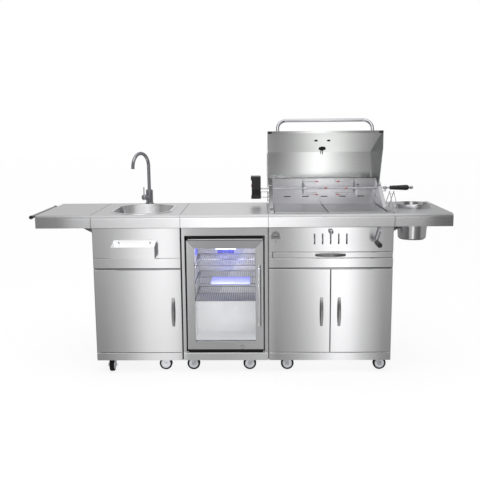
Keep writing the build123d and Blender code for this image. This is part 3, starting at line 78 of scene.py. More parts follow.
lens = bpy.data.cameras.new("camera")
lens.sensor_width = 36.0
lens.lens = focal_pixels / frame_pixels * lens.sensor_width
lens.clip_end = 60.0
reach = cos(camera_tilt)
forward = Vector((sin(camera_yaw) * reach, cos(camera_yaw) * reach, -sin(camera_tilt)))
level = Vector((cos(camera_yaw), -sin(camera_yaw), 0))
upright = level.cross(forward)
across = cos(camera_roll) * level + sin(camera_roll) * upright
above = -sin(camera_roll) * level + cos(camera_roll) * upright
camera = bpy.data.objects.new("camera", lens)
camera.matrix_world = Matrix((across, above, -forward)).transposed().to_4x4()
camera.location = camera_place
bpy.context.scene.collection.objects.link(camera)
bpy.context.scene.camera = camera
bpy.context.scene.view_settings.view_transform = "Standard"
print("lens", round(lens.lens, 2), "mm, camera at", [round(v, 3) for v in camera_place])

# %% [markdown]
# ## Small helpers for node trees
# Every finish is a node tree. Trees could be written out node by node, but that hides what matters
# in a long list of links. So one function adds a node with its settings and links, one makes a
# colour ramp, and one starts a material with its main shader.


# %% Node helpers
def add(tree, kind, inputs=None, **settings):
    """Adds a node; inputs are set by name or number, and a (node, output) pair is linked."""
    node = tree.nodes.new(kind)
    for name, value in settings.items():
        setattr(node, name, value)
    for name, value in (inputs or {}).items():
        if isinstance(value, tuple) and isinstance(value[0], bpy.types.Node):
            tree.links.new(value[0].outputs[value[1]], node.inputs[name])
        else:
            node.inputs[name].default_value = value
    return node


def ramp(tree, source, stops):
    """A colour ramp in greys, from (place, value) stops."""
    node = add(tree, "ShaderNodeValToRGB", {0: source})
    band = node.color_ramp
    while len(band.elements) < len(stops):
        band.elements.new(0.5)
    for element, (place, value) in zip(band.elements, stops):
        element.position = place
        element.color = (value, value, value, 1)
    return node


def material(name, colour, metallic, roughness, **more):
    """A material with its main shader; more holds further sockets by their names."""
    made = bpy.data.materials.new(name)
    made.use_nodes = True
    shader = made.node_tree.nodes["Principled BSDF"]
    shader.inputs["Base Color"].default_value = (*colour, 1)
    shader.inputs["Metallic"].default_value = metallic
    shader.inputs["Roughness"].default_value = roughness
    for socket, value in more.items():
        shader.inputs[socket.replace("_", " ")].default_value = value
    return made, made.node_tree, shader


# %% [markdown]
# ## The studio
# Brushed steel has hardly a colour of its own: it shows the room. An even grey room would make the
# doors look painted. So the room is white where the camera looks, and the steel sees bands of
# light and grey side by side, as between softboxes and flags. There are four sweeps of bands. The
# floor sweep serves the doors, which mirror the floor in front of them. The front sweep takes over
# where the floor ends, low behind the camera. The high sweep is one broad light above that, for
# the worktops' front edges and the round pieces. The back sweep stands behind the kitchen.

# %% Studio sweeps
floor_stops = (
    (-1.0, 0.45), (-0.80, 0.42), (-0.62, 0.12), (-0.30, 0.25), (-0.227, 0.37), (-0.195, 0.59),
    (-0.161, 1.08), (-0.136, 1.20), (-0.115, 1.06), (-0.104, 0.50), (-0.045, 0.50), (0.016, 0.62),
    (0.030, 0.38), (0.057, 0.54), (0.081, 0.80), (0.104, 1.20), (0.119, 1.50), (0.138, 1.42),
    (0.160, 0.86), (0.188, 0.40), (0.30, 0.20), (0.62, 0.12), (0.80, 0.42), (1.0, 0.45))
front_stops = (
    (-1.0, 0.45), (-0.80, 0.40), (-0.60, 0.12), (-0.30, 0.26), (-0.20, 0.60), (-0.12, 1.0),
    (-0.05, 0.50), (0.005, 0.18), (0.030, 0.19), (0.054, 0.48), (0.074, 1.15), (0.095, 1.40),
    (0.117, 0.70), (0.142, 0.28), (0.170, 0.20), (0.30, 0.16), (0.60, 0.12), (0.80, 0.40),
    (1.0, 0.45))
high_stops = (
    (-1.0, 0.45), (-0.80, 0.40), (-0.60, 0.12), (-0.36, 0.20), (-0.283, 0.22), (-0.23, 0.29),
    (-0.129, 0.70), (-0.045, 1.20), (0.045, 0.90), (0.105, 0.48), (0.168, 0.22), (0.25, 0.12),
    (0.60, 0.10), (0.80, 0.40), (1.0, 0.45))
back_stops = (
    (-1.0, 0.45), (-0.40, 0.58), (-0.16, 0.66), (-0.045, 0.94), (0.06, 0.74), (0.22, 0.40),
    (1.0, 0.45))


def studio_sweep(name, stops):
    """Light from side to side: a number from -1 on the left to 1 on the right becomes a grey."""
    tree = bpy.data.node_groups.new(name, "ShaderNodeTree")
    tree.interface.new_socket("Side", in_out="INPUT", socket_type="NodeSocketFloat")
    tree.interface.new_socket("Light", in_out="OUTPUT", socket_type="NodeSocketColor")
    start = tree.nodes.new("NodeGroupInput")
    place = add(tree, "ShaderNodeMapRange", {0: (start, 0), 1: -1.0, 2: 1.0})
    band = ramp(tree, (place, 0), [(0.5 + side / 2, value / 2) for side, value in stops])
    bright = add(tree, "ShaderNodeVectorMath", {0: (band, 0), 1: (2, 2, 2)}, operation="MULTIPLY")
    end = tree.nodes.new("NodeGroupOutput")
    tree.links.new(bright.outputs[0], end.inputs[0])
    return tree


floor_sweep = studio_sweep("floor sweep", floor_stops)
front_sweep = studio_sweep("front sweep", front_stops)
high_sweep = studio_sweep("high sweep", high_stops)
back_sweep = studio_sweep("back sweep", back_stops)
print("floor sweep of", len(floor_stops), "stops, front sweep of", len(front_stops))

# %% World
white = (1, 1, 1, 1)
high_band = (0.28, 0.44)
back_band = (-0.15, 0.15)
roof_band = (0.84, 0.95)


def studio_world():
    """White for the camera; bands in front and behind and white overhead for everything else."""
    world = bpy.data.worlds.new("studio")
    bpy.context.scene.world = world
    world.use_nodes = True
    tree = world.node_tree
    tree.nodes.clear()
    way = add(tree, "ShaderNodeTexCoord")
    parts = add(tree, "ShaderNodeSeparateXYZ", {0: (way, "Generated")})
    sweeps = [add(tree, "ShaderNodeGroup", node_tree=group)
              for group in (front_sweep, high_sweep, back_sweep)]
    for bands in sweeps:
        tree.links.new(parts.outputs[0], bands.inputs[0])

    def over(below, above, band, axis=2):
        """Fades from one light to another along a direction's height or depth."""
        fade = add(tree, "ShaderNodeMapRange", {0: (parts, axis), 1: band[0], 2: band[1]},
                   interpolation_type="SMOOTHSTEP")
        return add(tree, "ShaderNodeMix", {0: (fade, 0), 6: below, 7: above}, data_type="RGBA")

    front = over((sweeps[0], 0), (sweeps[1], 0), high_band)
    room = over((front, 2), (sweeps[2], 0), back_band, axis=1)
    lit = over((room, 2), white, roof_band)
    ray = add(tree, "ShaderNodeLightPath")
    seen = add(tree, "ShaderNodeMix", {0: (ray, "Is Camera Ray"), 6: (lit, 2), 7: white},
               data_type="RGBA")
    shade = add(tree, "ShaderNodeBackground", {0: (seen, 2), 1: 1.0})
    out = add(tree, "ShaderNodeOutputWorld")
    tree.links.new(shade.outputs[0], out.inputs[0])


studio_world()
print("world with a high sweep from", high_band, "and a white roof from", roof_band)

# %% Floor
floor_reach = 30.0
floor_glow = 0.84
floor_share = 0.22
mirror_depth = 3.6
far_band = (12.0, 20.0)
level_band = (4.0, 8.5)
level_range = (0.74, 1.20)


def studio_floor():
    """A pale floor: white with a faint shadow for the camera, bands for everything else."""
    mesh = bpy.data.meshes.new("floor")
    corners = [(-floor_reach, -floor_reach, 0), (floor_reach, -floor_reach, 0),
               (floor_reach, floor_reach, 0), (-floor_reach, floor_reach, 0)]
    mesh.from_pydata(corners, [], [(0, 1, 2, 3)])
    floor = bpy.data.objects.new("floor", mesh)
    bpy.context.scene.collection.objects.link(floor)
    pale, tree, shader = material("pale floor", (floor_share, floor_share, floor_share), 0, 0.9)
    shader.inputs["Emission Color"].default_value = white
    shader.inputs["Emission Strength"].default_value = floor_glow
    place = add(tree, "ShaderNodeTexCoord")
    parts = add(tree, "ShaderNodeSeparateXYZ", {0: (place, "Object")})
    from_camera = add(tree, "ShaderNodeMath", {0: (parts, 0), 1: camera_place.x},
                      operation="SUBTRACT")
    depth = add(tree, "ShaderNodeMath", {0: mirror_depth, 1: (parts, 1)}, operation="SUBTRACT")
    least = add(tree, "ShaderNodeMath", {0: (depth, 0), 1: 1.0}, operation="MAXIMUM")
    side = add(tree, "ShaderNodeMath", {0: (from_camera, 0), 1: (least, 0)}, operation="DIVIDE")
    near = add(tree, "ShaderNodeGroup", node_tree=floor_sweep)
    far = add(tree, "ShaderNodeGroup", node_tree=front_sweep)
    for bands in (near, far):
        tree.links.new(side.outputs[0], bands.inputs[0])
    away = add(tree, "ShaderNodeMapRange", {0: (depth, 0), 1: far_band[0], 2: far_band[1]})
    light = add(tree, "ShaderNodeMix", {0: (away, 0), 6: (near, 0), 7: (far, 0)}, data_type="RGBA")
    strength = add(tree, "ShaderNodeMapRange", {0: (depth, 0), 1: level_band[0], 2: level_band[1],
                                                3: level_range[0], 4: level_range[1]})
    glow = add(tree, "ShaderNodeEmission", {0: (light, 2), 1: (strength, 0)})
    ray = add(tree, "ShaderNodeLightPath")
    seen = add(tree, "ShaderNodeMixShader", {0: (ray, "Is Camera Ray"), 1: (glow, 0),
                                             2: (shader, 0)})
    tree.links.new(seen.outputs[0], tree.nodes["Material Output"].inputs[0])
    mesh.materials.append(pale)


studio_floor()
print("floor", 2 * floor_reach, "m wide")


# %% Lamps
def softbox(name, place, aim, size, watts, colour=(1, 1, 1), spread=pi):
    """A soft rectangular lamp pointed at a place; a small spread makes a beam of it."""
    lamp = bpy.data.lights.new(name, "AREA")
    lamp.shape = "RECTANGLE"
    lamp.size, lamp.size_y = size
    lamp.energy = watts
    lamp.color = colour
    lamp.spread = spread
    holder = bpy.data.objects.new(name, lamp)
    holder.location = place
    holder.rotation_euler = (Vector(aim) - Vector(place)).to_track_quat("-Z", "Y").to_euler()
    bpy.context.scene.collection.objects.link(holder)
    return holder


softbox("softbox_above", place=(0.0, -1.6, 3.6), aim=(0.0, 0.1, 0.8), size=(3.6, 2.0), watts=25)
fill = softbox("front_fill", place=(0.0, -4.2, 0.9), aim=(0.0, 0.0, 0.4), size=(3.0, 1.2),
               watts=45)
fill.visible_glossy = False
print("lamps", len(bpy.data.lights))

# %% [markdown]
# ## Brushed sheet steel
# Brushing leaves fine scratches along the sheet. They spread a reflection across themselves, up and
# down on a door, and hardly at all from side to side, so a door shows tall bands of light. Bumps
# alone could do that, but they would have to be finer than a pixel. The shader does it with an
# anisotropic highlight drawn out along one steady direction. The scratches themselves are a noise
# stretched along the grain, and a slow noise lets the sheet bow a little, because thin sheet is
# never dead flat.

# %% Grain
grain_fine = 620.0
grain_long = 4.0
mark_scale = 7.0
wave_scale = 1.3
scratch_shade = 0.96
scratch_depth = 0.0001
wiped_change = 0.02
sheet_bow = 0.001
highlight_way = (0.0, 0.05, 1.0)


def grain_noise(tree):
    """Scratches along X on fronts and tops, and along Y on the sides."""
    place = add(tree, "ShaderNodeTexCoord")
    front = add(tree, "ShaderNodeMapping", {0: (place, "Object"),
                                            3: (grain_long, grain_fine, grain_fine)})
    side = add(tree, "ShaderNodeMapping", {0: (place, "Object"),
                                           3: (grain_fine, grain_long, grain_fine)})
    facing = add(tree, "ShaderNodeSeparateXYZ", {0: (place, "Normal")})
    turned_by = add(tree, "ShaderNodeMath", {0: (facing, 0)}, operation="ABSOLUTE")
    sideways = add(tree, "ShaderNodeMath", {0: (turned_by, 0), 1: 0.7}, operation="GREATER_THAN")
    way = add(tree, "ShaderNodeMix", {0: (sideways, 0), 4: (front, 0), 5: (side, 0)},
              data_type="VECTOR")
    noise = add(tree, "ShaderNodeTexNoise", {"Vector": (way, 1), "Scale": 1.0, "Detail": 2.0})
    return noise, place


print("scratches", grain_fine / grain_long, "times as long as wide")


# %% Brushed sheet
def sheet_steel(name, colour, roughness, spread=1.0, lean=0.0):
    """Brushed sheet: spread draws the highlight out, and a lean tips it upwards, as a rolled
    edge does."""
    made, tree, shader = material(name, colour, 1.0, roughness, Anisotropic=spread)
    scratches, place = grain_noise(tree)
    marks = add(tree, "ShaderNodeTexNoise", {"Vector": (place, "Object"), "Scale": mark_scale,
                                             "Detail": 4.0})
    wiped = add(tree, "ShaderNodeMath", {0: (scratches, 0), 1: (marks, 0)}, operation="ADD")
    rough = add(tree, "ShaderNodeMapRange", {0: (wiped, 0), 1: 0.6, 2: 1.4,
                                             3: roughness - wiped_change,
                                             4: roughness + wiped_change})
    tree.links.new(rough.outputs[0], shader.inputs["Roughness"])
    dark = [scratch_shade * c for c in colour]
    tint = add(tree, "ShaderNodeMix", {0: (scratches, 0), 6: (*dark, 1), 7: (*colour, 1)},
               data_type="RGBA")
    tree.links.new(tint.outputs[2], shader.inputs["Base Color"])
    waves = add(tree, "ShaderNodeTexNoise", {"Vector": (place, "Object"), "Scale": wave_scale,
                                             "Detail": 0.0})
    facing = add(tree, "ShaderNodeNewGeometry")
    tipped = add(tree, "ShaderNodeVectorMath", {0: (facing, "Normal"), 1: (0, 0, lean)})
    rolled = add(tree, "ShaderNodeVectorMath", {0: (tipped, 0)}, operation="NORMALIZE")
    wander = add(tree, "ShaderNodeBump", {"Strength": 1.0, "Distance": sheet_bow,
                                          "Height": (waves, 0), "Normal": (rolled, 0)})
    fine = add(tree, "ShaderNodeBump", {"Strength": 0.03, "Distance": scratch_depth,
                                        "Height": (scratches, 0), "Normal": (wander, 0)})
    tree.links.new(fine.outputs[0], shader.inputs["Normal"])
    drawn = add(tree, "ShaderNodeCombineXYZ", dict(enumerate(highlight_way)))
    tree.links.new(drawn.outputs[0], shader.inputs["Tangent"])
    return made


# %% Sheet finishes
front_steel = sheet_steel("brushed front sheet", (0.82, 0.82, 0.83), 0.17)
# A darker copy of the front sheet: painted shade on the fridge's front.
shaded_fridge_steel = sheet_steel("shaded fridge sheet", (0.74, 0.74, 0.75), 0.17)
# A lighter copy of the fridge sheet: painted light on the fridge's plinth.
lit_plinth_steel = sheet_steel("lit fridge plinth sheet", (0.94, 0.94, 0.95), 0.17)
# A darker copy of the fridge sheet: painted shade on the door's top rail.
shaded_rail_steel = sheet_steel("shaded fridge rail sheet", (0.54, 0.54, 0.56), 0.17)
apron_steel = sheet_steel("rolled edge sheet", (0.84, 0.84, 0.85), 0.20, lean=0.42)
worktop_steel = sheet_steel("matt worktop sheet", (0.74, 0.74, 0.75), 0.40, spread=0.5)
firebox_steel = sheet_steel("satin firebox sheet", (0.72, 0.72, 0.74), 0.20)
plate_steel = sheet_steel("satin plate sheet", (0.60, 0.60, 0.62), 0.34, spread=0.5)
hood_steel = sheet_steel("brushed hood sheet", (0.80, 0.81, 0.80), 0.12)
# A darker copy of the hood sheet: painted shade on the hood's front facet.
shaded_facet_steel = sheet_steel("shaded hood facet sheet", (0.62, 0.63, 0.62), 0.14, lean=0.85)
nose_steel = sheet_steel("rolled nose sheet", (0.64, 0.64, 0.65), 0.35)
# A lighter copy of the front sheet: painted light on the tray's back plate and the bowl's far wall.
lit_steel = sheet_steel("skyward lit sheet", (0.88, 0.88, 0.89), 0.25, lean=0.9)
# The lit side of the fridge handle: a painted highlight.
lit_bar_steel = sheet_steel("lit bar sheet", (0.95, 0.95, 0.95), 0.20, lean=0.42)
shade_steel = sheet_steel("shaded side sheet", (0.22, 0.22, 0.23), 0.40, spread=0.5)
print("sheet finishes", len([m for m in bpy.data.materials if m.name.endswith("sheet")]))

# %% [markdown]
# ## Polished metal, plastic, rubber and glass
# Handles, tubes and the bowl are polished, so they get a low roughness with faint wipe marks. One
# smooth metal could serve for all, but it would look like a mirror ball. Moulded plastic has a fine
# grain, tyres are dull, a lamp's diffuser glows unevenly, and the glass is clear with a cool tint.


# %% Other finish helpers
def polished(name, colour, roughness):
    """Bare or plated metal with wipe marks."""
    made, tree, shader = material(name, colour, 1.0, roughness)
    place = add(tree, "ShaderNodeTexCoord")
    wipes = add(tree, "ShaderNodeTexNoise", {"Vector": (place, "Object"), "Scale": 24.0,
                                             "Detail": 5.0})
    rough = add(tree, "ShaderNodeMapRange", {0: (wipes, 0), 1: 0.35, 2: 0.75, 3: roughness,
                                             4: roughness + 0.05})
    tree.links.new(rough.outputs[0], shader.inputs["Roughness"])
    return made


def moulded(name, colour, roughness, grain=900.0, depth=0.0001):
    """Plastic, rubber or enamel with a grained skin and a little soiling."""
    made, tree, shader = material(name, colour, 0.0, roughness)
    place = add(tree, "ShaderNodeTexCoord")
    skin = add(tree, "ShaderNodeTexNoise", {"Vector": (place, "Object"), "Scale": grain,
                                            "Detail": 2.0})
    soil = add(tree, "ShaderNodeTexNoise", {"Vector": (place, "Object"), "Scale": 14.0,
                                            "Detail": 3.0})
    rough = add(tree, "ShaderNodeMapRange", {0: (soil, 0), 1: 0.3, 2: 0.7, 3: roughness - 0.05,
                                             4: roughness + 0.08})
    tree.links.new(rough.outputs[0], shader.inputs["Roughness"])
    dull, clean = (0.9 * c for c in colour), (min(1.0, 1.06 * c) for c in colour)
    shade = add(tree, "ShaderNodeMix", {0: (soil, 0), 6: (*dull, 1), 7: (*clean, 1)},
                data_type="RGBA")
    tree.links.new(shade.outputs[2], shader.inputs["Base Color"])
    bump = add(tree, "ShaderNodeBump", {"Strength": 0.3, "Distance": depth, "Height": (skin, 0)})
    tree.links.new(bump.outputs[0], shader.inputs["Normal"])
    return made


def glowing(name, colour, strength):
    """A diffuser with a lamp behind it: brighter where its grain is thin."""
    made, tree, shader = material(name, colour, 0.0, 0.4)
    place = add(tree, "ShaderNodeTexCoord")
    grain = add(tree, "ShaderNodeTexNoise", {"Vector": (place, "Object"), "Scale": 90.0,
                                             "Detail": 2.0})
    glow = add(tree, "ShaderNodeMapRange", {0: (grain, 0), 1: 0.3, 2: 0.7, 3: 0.8 * strength,
                                            4: 1.1 * strength})
    shader.inputs["Emission Color"].default_value = (*colour, 1)
    tree.links.new(glow.outputs[0], shader.inputs["Emission Strength"])
    return made


# %% Other finishes
chrome = polished("polished steel", (0.58, 0.58, 0.61), 0.12)
faucet_metal = polished("brushed nickel", (0.42, 0.42, 0.45), 0.20)
bowl_metal = polished("pressed bowl steel", (0.76, 0.76, 0.77), 0.14)
bright_chrome = polished("bright handle steel", (0.92, 0.92, 0.93), 0.28)
handle_metal = polished("satin handle steel", (0.30, 0.30, 0.30), 0.28)
zinc = polished("zinc plating", (0.86, 0.87, 0.90), 0.34)
wire_metal = polished("plated wire", (0.62, 0.62, 0.66), 0.2)
shelf_wire = polished("shelf wire plating", (0.31, 0.31, 0.35), 0.3)
black_plastic = moulded("black moulding", (0.02, 0.02, 0.022), 0.38)
casing_black = moulded("matt black casing", (0.005, 0.005, 0.006), 0.7)
liner_white = moulded("fridge liner", (0.74, 0.74, 0.76), 0.4, 240.0, 0.0004)
hump_white = moulded("frosted liner", (0.95, 0.95, 0.94), 0.6, 160.0, 0.0006)
sheet_blue = moulded("blue drip sheet", (0.36, 0.38, 0.98), 0.6)
seal_black = moulded("rubber seal", (0.02, 0.02, 0.021), 0.7, 300.0)
tyre_black = moulded("tyre rubber", (0.006, 0.006, 0.007), 0.8, 500.0)
hub_grey = moulded("hub plastic", (0.88, 0.89, 0.92), 0.35)
prong_red = moulded("red dip coating", (0.62, 0.02, 0.025), 0.35)
dial_white = moulded("dial enamel", (0.80, 0.79, 0.76), 0.3)
blue_glow = glowing("blue fridge light", (0.09, 0.10, 0.75), 0.8)
pane = material("clear pane", (0.95, 0.955, 0.97), 0.0, 0.02, Transmission_Weight=1.0, IOR=1.2)[0]
print("finishes", len(bpy.data.materials))

# %% [markdown]
# ## Dressing the solids
# A solid whose shape is right stays and only takes a finish. Some solids are two materials in one,
# such as a tyre on its hub or a grip on a crank. They could be cut in two, but the solids must stay
# whole, so a face picks its finish by where it lies and which way it looks.
# Some picks paint light and shade instead: a face that looks one way takes a lighter or darker copy
# of the steel.


# %% Dress helpers
def dress(node, *finishes, pick=None):
    """Gives a node its finishes; pick turns a face's middle and normal into a finish's number."""
    mesh = nodes[node].data
    mesh.materials.clear()
    for finish in finishes:
        mesh.materials.append(finish)
    for face in mesh.polygons:
        face.material_index = pick(face.center, face.normal) if pick else 0


def middle(node):
    """The middle of a node's box."""
    low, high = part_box(node)
    return (low + high) / 2


plain_finishes = {
    front_steel: ("sink_cabinet", "grill_cabinet", "grill_front_panel"),
    firebox_steel: ("charcoal_tray",),
    plate_steel: ("cooking_plates",),
    bowl_metal: ("sink_drain", "ice_bucket"),
    faucet_metal: ("faucet_body", "faucet_spout", "faucet_lever"),
    chrome: ("hood_handle", "spit_rod", "spit_forks", "spit_brackets", "thermometer"),
    wire_metal: ("fridge_shelves", "wire_rack"),
    black_plastic: ("rotisserie_motor",),
    liner_white: ("fridge_fan_light",),
    pane: ("fridge_door_glass",),
}
for finish, names in plain_finishes.items():
    for name in names:
        dress(name, finish)
print("plain solids", sum(len(names) for names in plain_finishes.values()))

# %% Worktops and fronts
nose_front, nose_up, apron_front = -0.12, 0.2, -0.35


def worktop_finish(spot, way):
    """The flat top, the front apron and the rolled nose between them."""
    if way.y < nose_front and way.z > nose_up:
        return 2
    return int(way.y < apron_front)


for name in ("sink_worktop", "fridge_worktop", "grill_worktop", "left_shelf", "right_shelf"):
    dress(name, worktop_steel, apron_steel, nose_steel, pick=worktop_finish)

pan_depth = 18 * mm
front_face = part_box("sink_door")[1].y - pan_depth


def proud(gap, base, trim, *names):
    """Gives fronts a base finish, and a trim to what stands proud of the front by a gap."""
    for name in names:
        dress(name, base, trim, pick=lambda spot, way: int(spot.y < front_face - gap))


proud(0.2 * mm, front_steel, handle_metal,
      "sink_door", "grill_door_left", "grill_door_right", "ash_drawer")
proud(1 * mm, shade_steel, chrome, "vent_damper")
proud(4 * mm, front_steel, handle_metal, "bottle_opener")
print("front pans at y", round(front_face, 4))

# %% Fridge front, tray and bowl
plinth_top = 130 * mm
# The fridge takes the darker copy and its plinth the lighter one: painted shade and painted light.
dress("fridge_cabinet", shaded_fridge_steel, lit_plinth_steel,
      pick=lambda spot, way: int(spot.z < plinth_top))
door_low, door_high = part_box("fridge_door_frame")


def top_rail(spot, way):
    """The mitred frame's top rail takes a darker copy of the steel as painted shade, the rest does
    not.
    """
    to_side = min(spot.x - door_low.x, door_high.x - spot.x)
    return int(door_high.z - spot.z < to_side)


dress("fridge_door_frame", shaded_fridge_steel, shaded_rail_steel, pick=top_rail)
tray_low, tray_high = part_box("condiment_tray")
tray_wall = 8 * mm
sideways = 0.9


def tray_finish(spot, way):
    """The back plate takes a lighter steel tipped up to the light, as painted light; the right end
    lies in shade.
    """
    if way.y < -0.5 and spot.y > tray_high.y - tray_wall:
        return 2
    return int(way.x > sideways and spot.x > tray_high.x - tray_wall)


dress("condiment_tray", front_steel, shade_steel, lit_steel, pick=tray_finish)
# Faces of the bowl that look to the front take the lighter steel: a painted highlight on its far
# wall.
dress("sink_bowl", bowl_metal, lit_steel, pick=lambda spot, way: int(way.y < -0.6))
# The handle's right-facing side takes the dark satin steel as painted shade, the rest the lit bar
# steel as a painted highlight.
dress("fridge_door_handle", lit_bar_steel, handle_metal, pick=lambda spot, way: int(way.x > 0.5))
print("fridge door from", [round(v, 3) for v in door_low], "to", [round(v, 3) for v in door_high])

# %% Hood and firebox
facet_inside = Vector((0, -0.4852, -0.8744))
facet_match = 0.97
grill_middle = middle("hood").x
cheek_reach = 0.3
baffle_place = joints["spit_turn"]["pos_m"][1] + 66 * mm


def hood_finish(spot, way):
    """The tipped front facet in a darker steel as painted shade, the shaded insides of the end
    plates, and the rest.
    """
    if way.dot(facet_inside) > facet_match:
        return 1
    return 2 if abs(way.x) > sideways and way.x * (spot.x - grill_middle) < 0 else 0


def firebox_finish(spot, way):
    """The left cheek's edge takes bright steel as a painted highlight, the baffle behind the vents
    is painted black as shade, the rest is satin."""
    if way.y > -0.5:
        return 0
    if spot.x < grill_middle - cheek_reach:
        return 1
    return 2 if spot.y > baffle_place else 0


dress("hood", hood_steel, shaded_facet_steel, shade_steel, pick=hood_finish)
dress("firebox", firebox_steel, bright_chrome, casing_black, pick=firebox_finish)
print("grill middle at x", round(grill_middle, 4))

# %% Wheels and grips
hub_radius = 27.2 * mm
for name in nodes:
    if "wheel" in name:
        axle = Vector(next(j["axis"] for j in frame["joints"] if j["child"] == name))
        centre = middle(name)
        dress(name, hub_grey, tyre_black,
              pick=lambda spot, way: int((spot - centre).cross(axle).length > hub_radius))
    elif "caster_fork" in name:
        dress(name, zinc)

grip_start = front_face - 48.1 * mm
dress("crank", chrome, black_plastic, pick=lambda spot, way: int(spot.y < grip_start))

bar_low, bar_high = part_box("towel_bar")
bar_cap = 14 * mm
dress("towel_bar", handle_metal, black_plastic,
      pick=lambda spot, way: int(not bar_low.y + bar_cap < spot.y < bar_high.y - bar_cap))

ring_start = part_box("spit_grip")[1].x - 24.2 * mm
dress("spit_grip", black_plastic, chrome, pick=lambda spot, way: int(spot.x > ring_start))
print("wheels", sum("wheel" in name for name in nodes))

# %% Fridge casing
casing_low, casing_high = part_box("fridge_housing")
casing_wall = 28 * mm
hump_top = casing_low.z + 260 * mm


def liner_or_casing(spot, way):
    """The liner is what lies inside the casing's walls, frosted low down."""
    edge = 0.98 * casing_wall
    inside = casing_low.x + edge < spot.x < casing_high.x - edge
    between = casing_low.z + edge < spot.z < casing_high.z - edge
    if not (inside and between and door_high.y < spot.y < casing_high.y - edge):
        return 0
    return 2 if spot.z < hump_top else 1


dress("fridge_housing", casing_black, liner_white, hump_white, pick=liner_or_casing)
print("dressed", len(nodes), "solids")

# %% [markdown]
# ## Building new trim
# New pieces are built straight in the frame's coordinates, so each object sits at the origin. They
# could be placed by moving objects, but then a pattern would slide in the export. A helper turns a
# bmesh into a piece that rides on a body and names the finish it belongs to. Two forms cover most
# trim: a rounded box and a turned shape.


# %% Piece helpers
def piece(name, work, finish, body):
    """Turns a bmesh into a finished piece on a body."""
    bmesh.ops.recalc_face_normals(work, faces=work.faces)
    mesh = bpy.data.meshes.new(name)
    work.to_mesh(mesh)
    work.free()
    mesh.materials.append(finish)
    return settle(bpy.data.objects.new(name, mesh), body)


def settle(made, body):
    """Links a piece, shades it round with crisp edges and lets it ride."""
    if made.name not in bpy.context.scene.collection.objects:
        bpy.context.scene.collection.objects.link(made)
    made.data.shade_smooth()
    made.data.set_sharp_from_angle(angle=radians(35))
    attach(made, body)
    return made


# %% Two forms
def in_mm(*points):
    """Points given in millimetres, in metres."""
    return [tuple(value * mm for value in point) for point in points]


def rounded_box(work, low, high, edge):
    """Adds a box between two corners with bevelled edges."""
    low, high = Vector(low), Vector(high)
    made = bmesh.ops.create_cube(work, size=1.0)["verts"]
    for vert in made:
        vert.co = Vector([(a + b) / 2 + c * (b - a) for a, b, c in zip(low, high, vert.co)])
    edges = list({e for v in made for e in v.link_edges})
    bmesh.ops.bevel(work, geom=edges, offset=edge, segments=3, affect="EDGES", profile=0.5)


def turned(work, profile, place, axis, steps=32):
    """Adds a turned shape from (radius, height) points; it is closed where they start and end on
    the axis."""
    axis = Vector(axis).normalized()
    side = axis.orthogonal().normalized()
    other = axis.cross(side)
    turns = [2 * pi * i / steps for i in range(steps)]
    rings = []
    for radius, height in profile:
        centre = Vector(place) + axis * height
        if radius < 1e-7:
            rings.append([work.verts.new(centre)])
            continue
        spokes = [cos(t) * side + sin(t) * other for t in turns]
        rings.append([work.verts.new(centre + radius * spoke) for spoke in spokes])
    for lower, upper in zip(rings, rings[1:]):
        for i in range(steps):
            j = (i + 1) % steps
            corners = [lower[i % len(lower)], lower[j % len(lower)],
                       upper[j % len(upper)], upper[i % len(upper)]]
            work.faces.new(list(dict.fromkeys(corners)))


# %% [markdown]
# ## Repeats with Geometry Nodes
# Screws, prong tips, wires and slats repeat one small shape. A loop could copy it, but a node tree
# keeps the sizes as named inputs. The tree puts a copy on each point of a carrier mesh, turned
# along the carrier's aim, then makes the copies real and gives them their finish. A second tree
# does the same along a straight row.


# %% Repeat trees
def repeat_tree(name, sockets):
    """Starts a tree with named inputs, of which the last is the finish, and a shape to copy."""
    tree = bpy.data.node_groups.new(name, "GeometryNodeTree")
    for label, kind in sockets.items():
        tree.interface.new_socket(label, in_out="INPUT", socket_type="NodeSocket" + kind)
    tree.interface.new_socket("Pieces", in_out="OUTPUT", socket_type="NodeSocketGeometry")
    start = tree.nodes.new("NodeGroupInput")
    shape = add(tree, "GeometryNodeObjectInfo", {"Object": (start, "Shape")})
    return tree, start, shape


def close_tree(tree, start, copies):
    """Makes the copies real and gives them their finish."""
    real = add(tree, "GeometryNodeRealizeInstances", {0: (copies, 0)})
    painted = add(tree, "GeometryNodeSetMaterial", {"Geometry": (real, 0),
                                                    "Material": (start, "Finish")})
    end = add(tree, "NodeGroupOutput")
    tree.links.new(painted.outputs[0], end.inputs[0])
    return tree


def scatter_tree():
    """Copies a shape to every point, turned so that its Z follows the point's aim."""
    tree, start, shape = repeat_tree("shape on points", {
        "Points": "Geometry", "Shape": "Object", "Size": "Float", "Finish": "Material"})
    aim = add(tree, "GeometryNodeInputNamedAttribute", {"Name": "aim"}, data_type="FLOAT_VECTOR")
    turn = add(tree, "FunctionNodeAlignRotationToVector", {"Vector": (aim, 0)}, axis="Z")
    copies = add(tree, "GeometryNodeInstanceOnPoints", {
        "Points": (start, "Points"), "Instance": (shape, "Geometry"), "Rotation": (turn, 0),
        "Scale": (start, "Size")})
    return close_tree(tree, start, copies)


def row_tree():
    """Copies a shape along a straight row."""
    tree, start, shape = repeat_tree("shape in a row", {
        "Carrier": "Geometry", "Shape": "Object", "Count": "Int", "Step": "Vector",
        "Finish": "Material"})
    line = add(tree, "GeometryNodeMeshLine", {"Count": (start, "Count"),
                                              "Offset": (start, "Step")}, mode="OFFSET")
    copies = add(tree, "GeometryNodeInstanceOnPoints", {"Points": (line, 0),
                                                        "Instance": (shape, "Geometry")})
    return close_tree(tree, start, copies)


scatter, row = scatter_tree(), row_tree()
print("trees", scatter.name, "and", row.name)


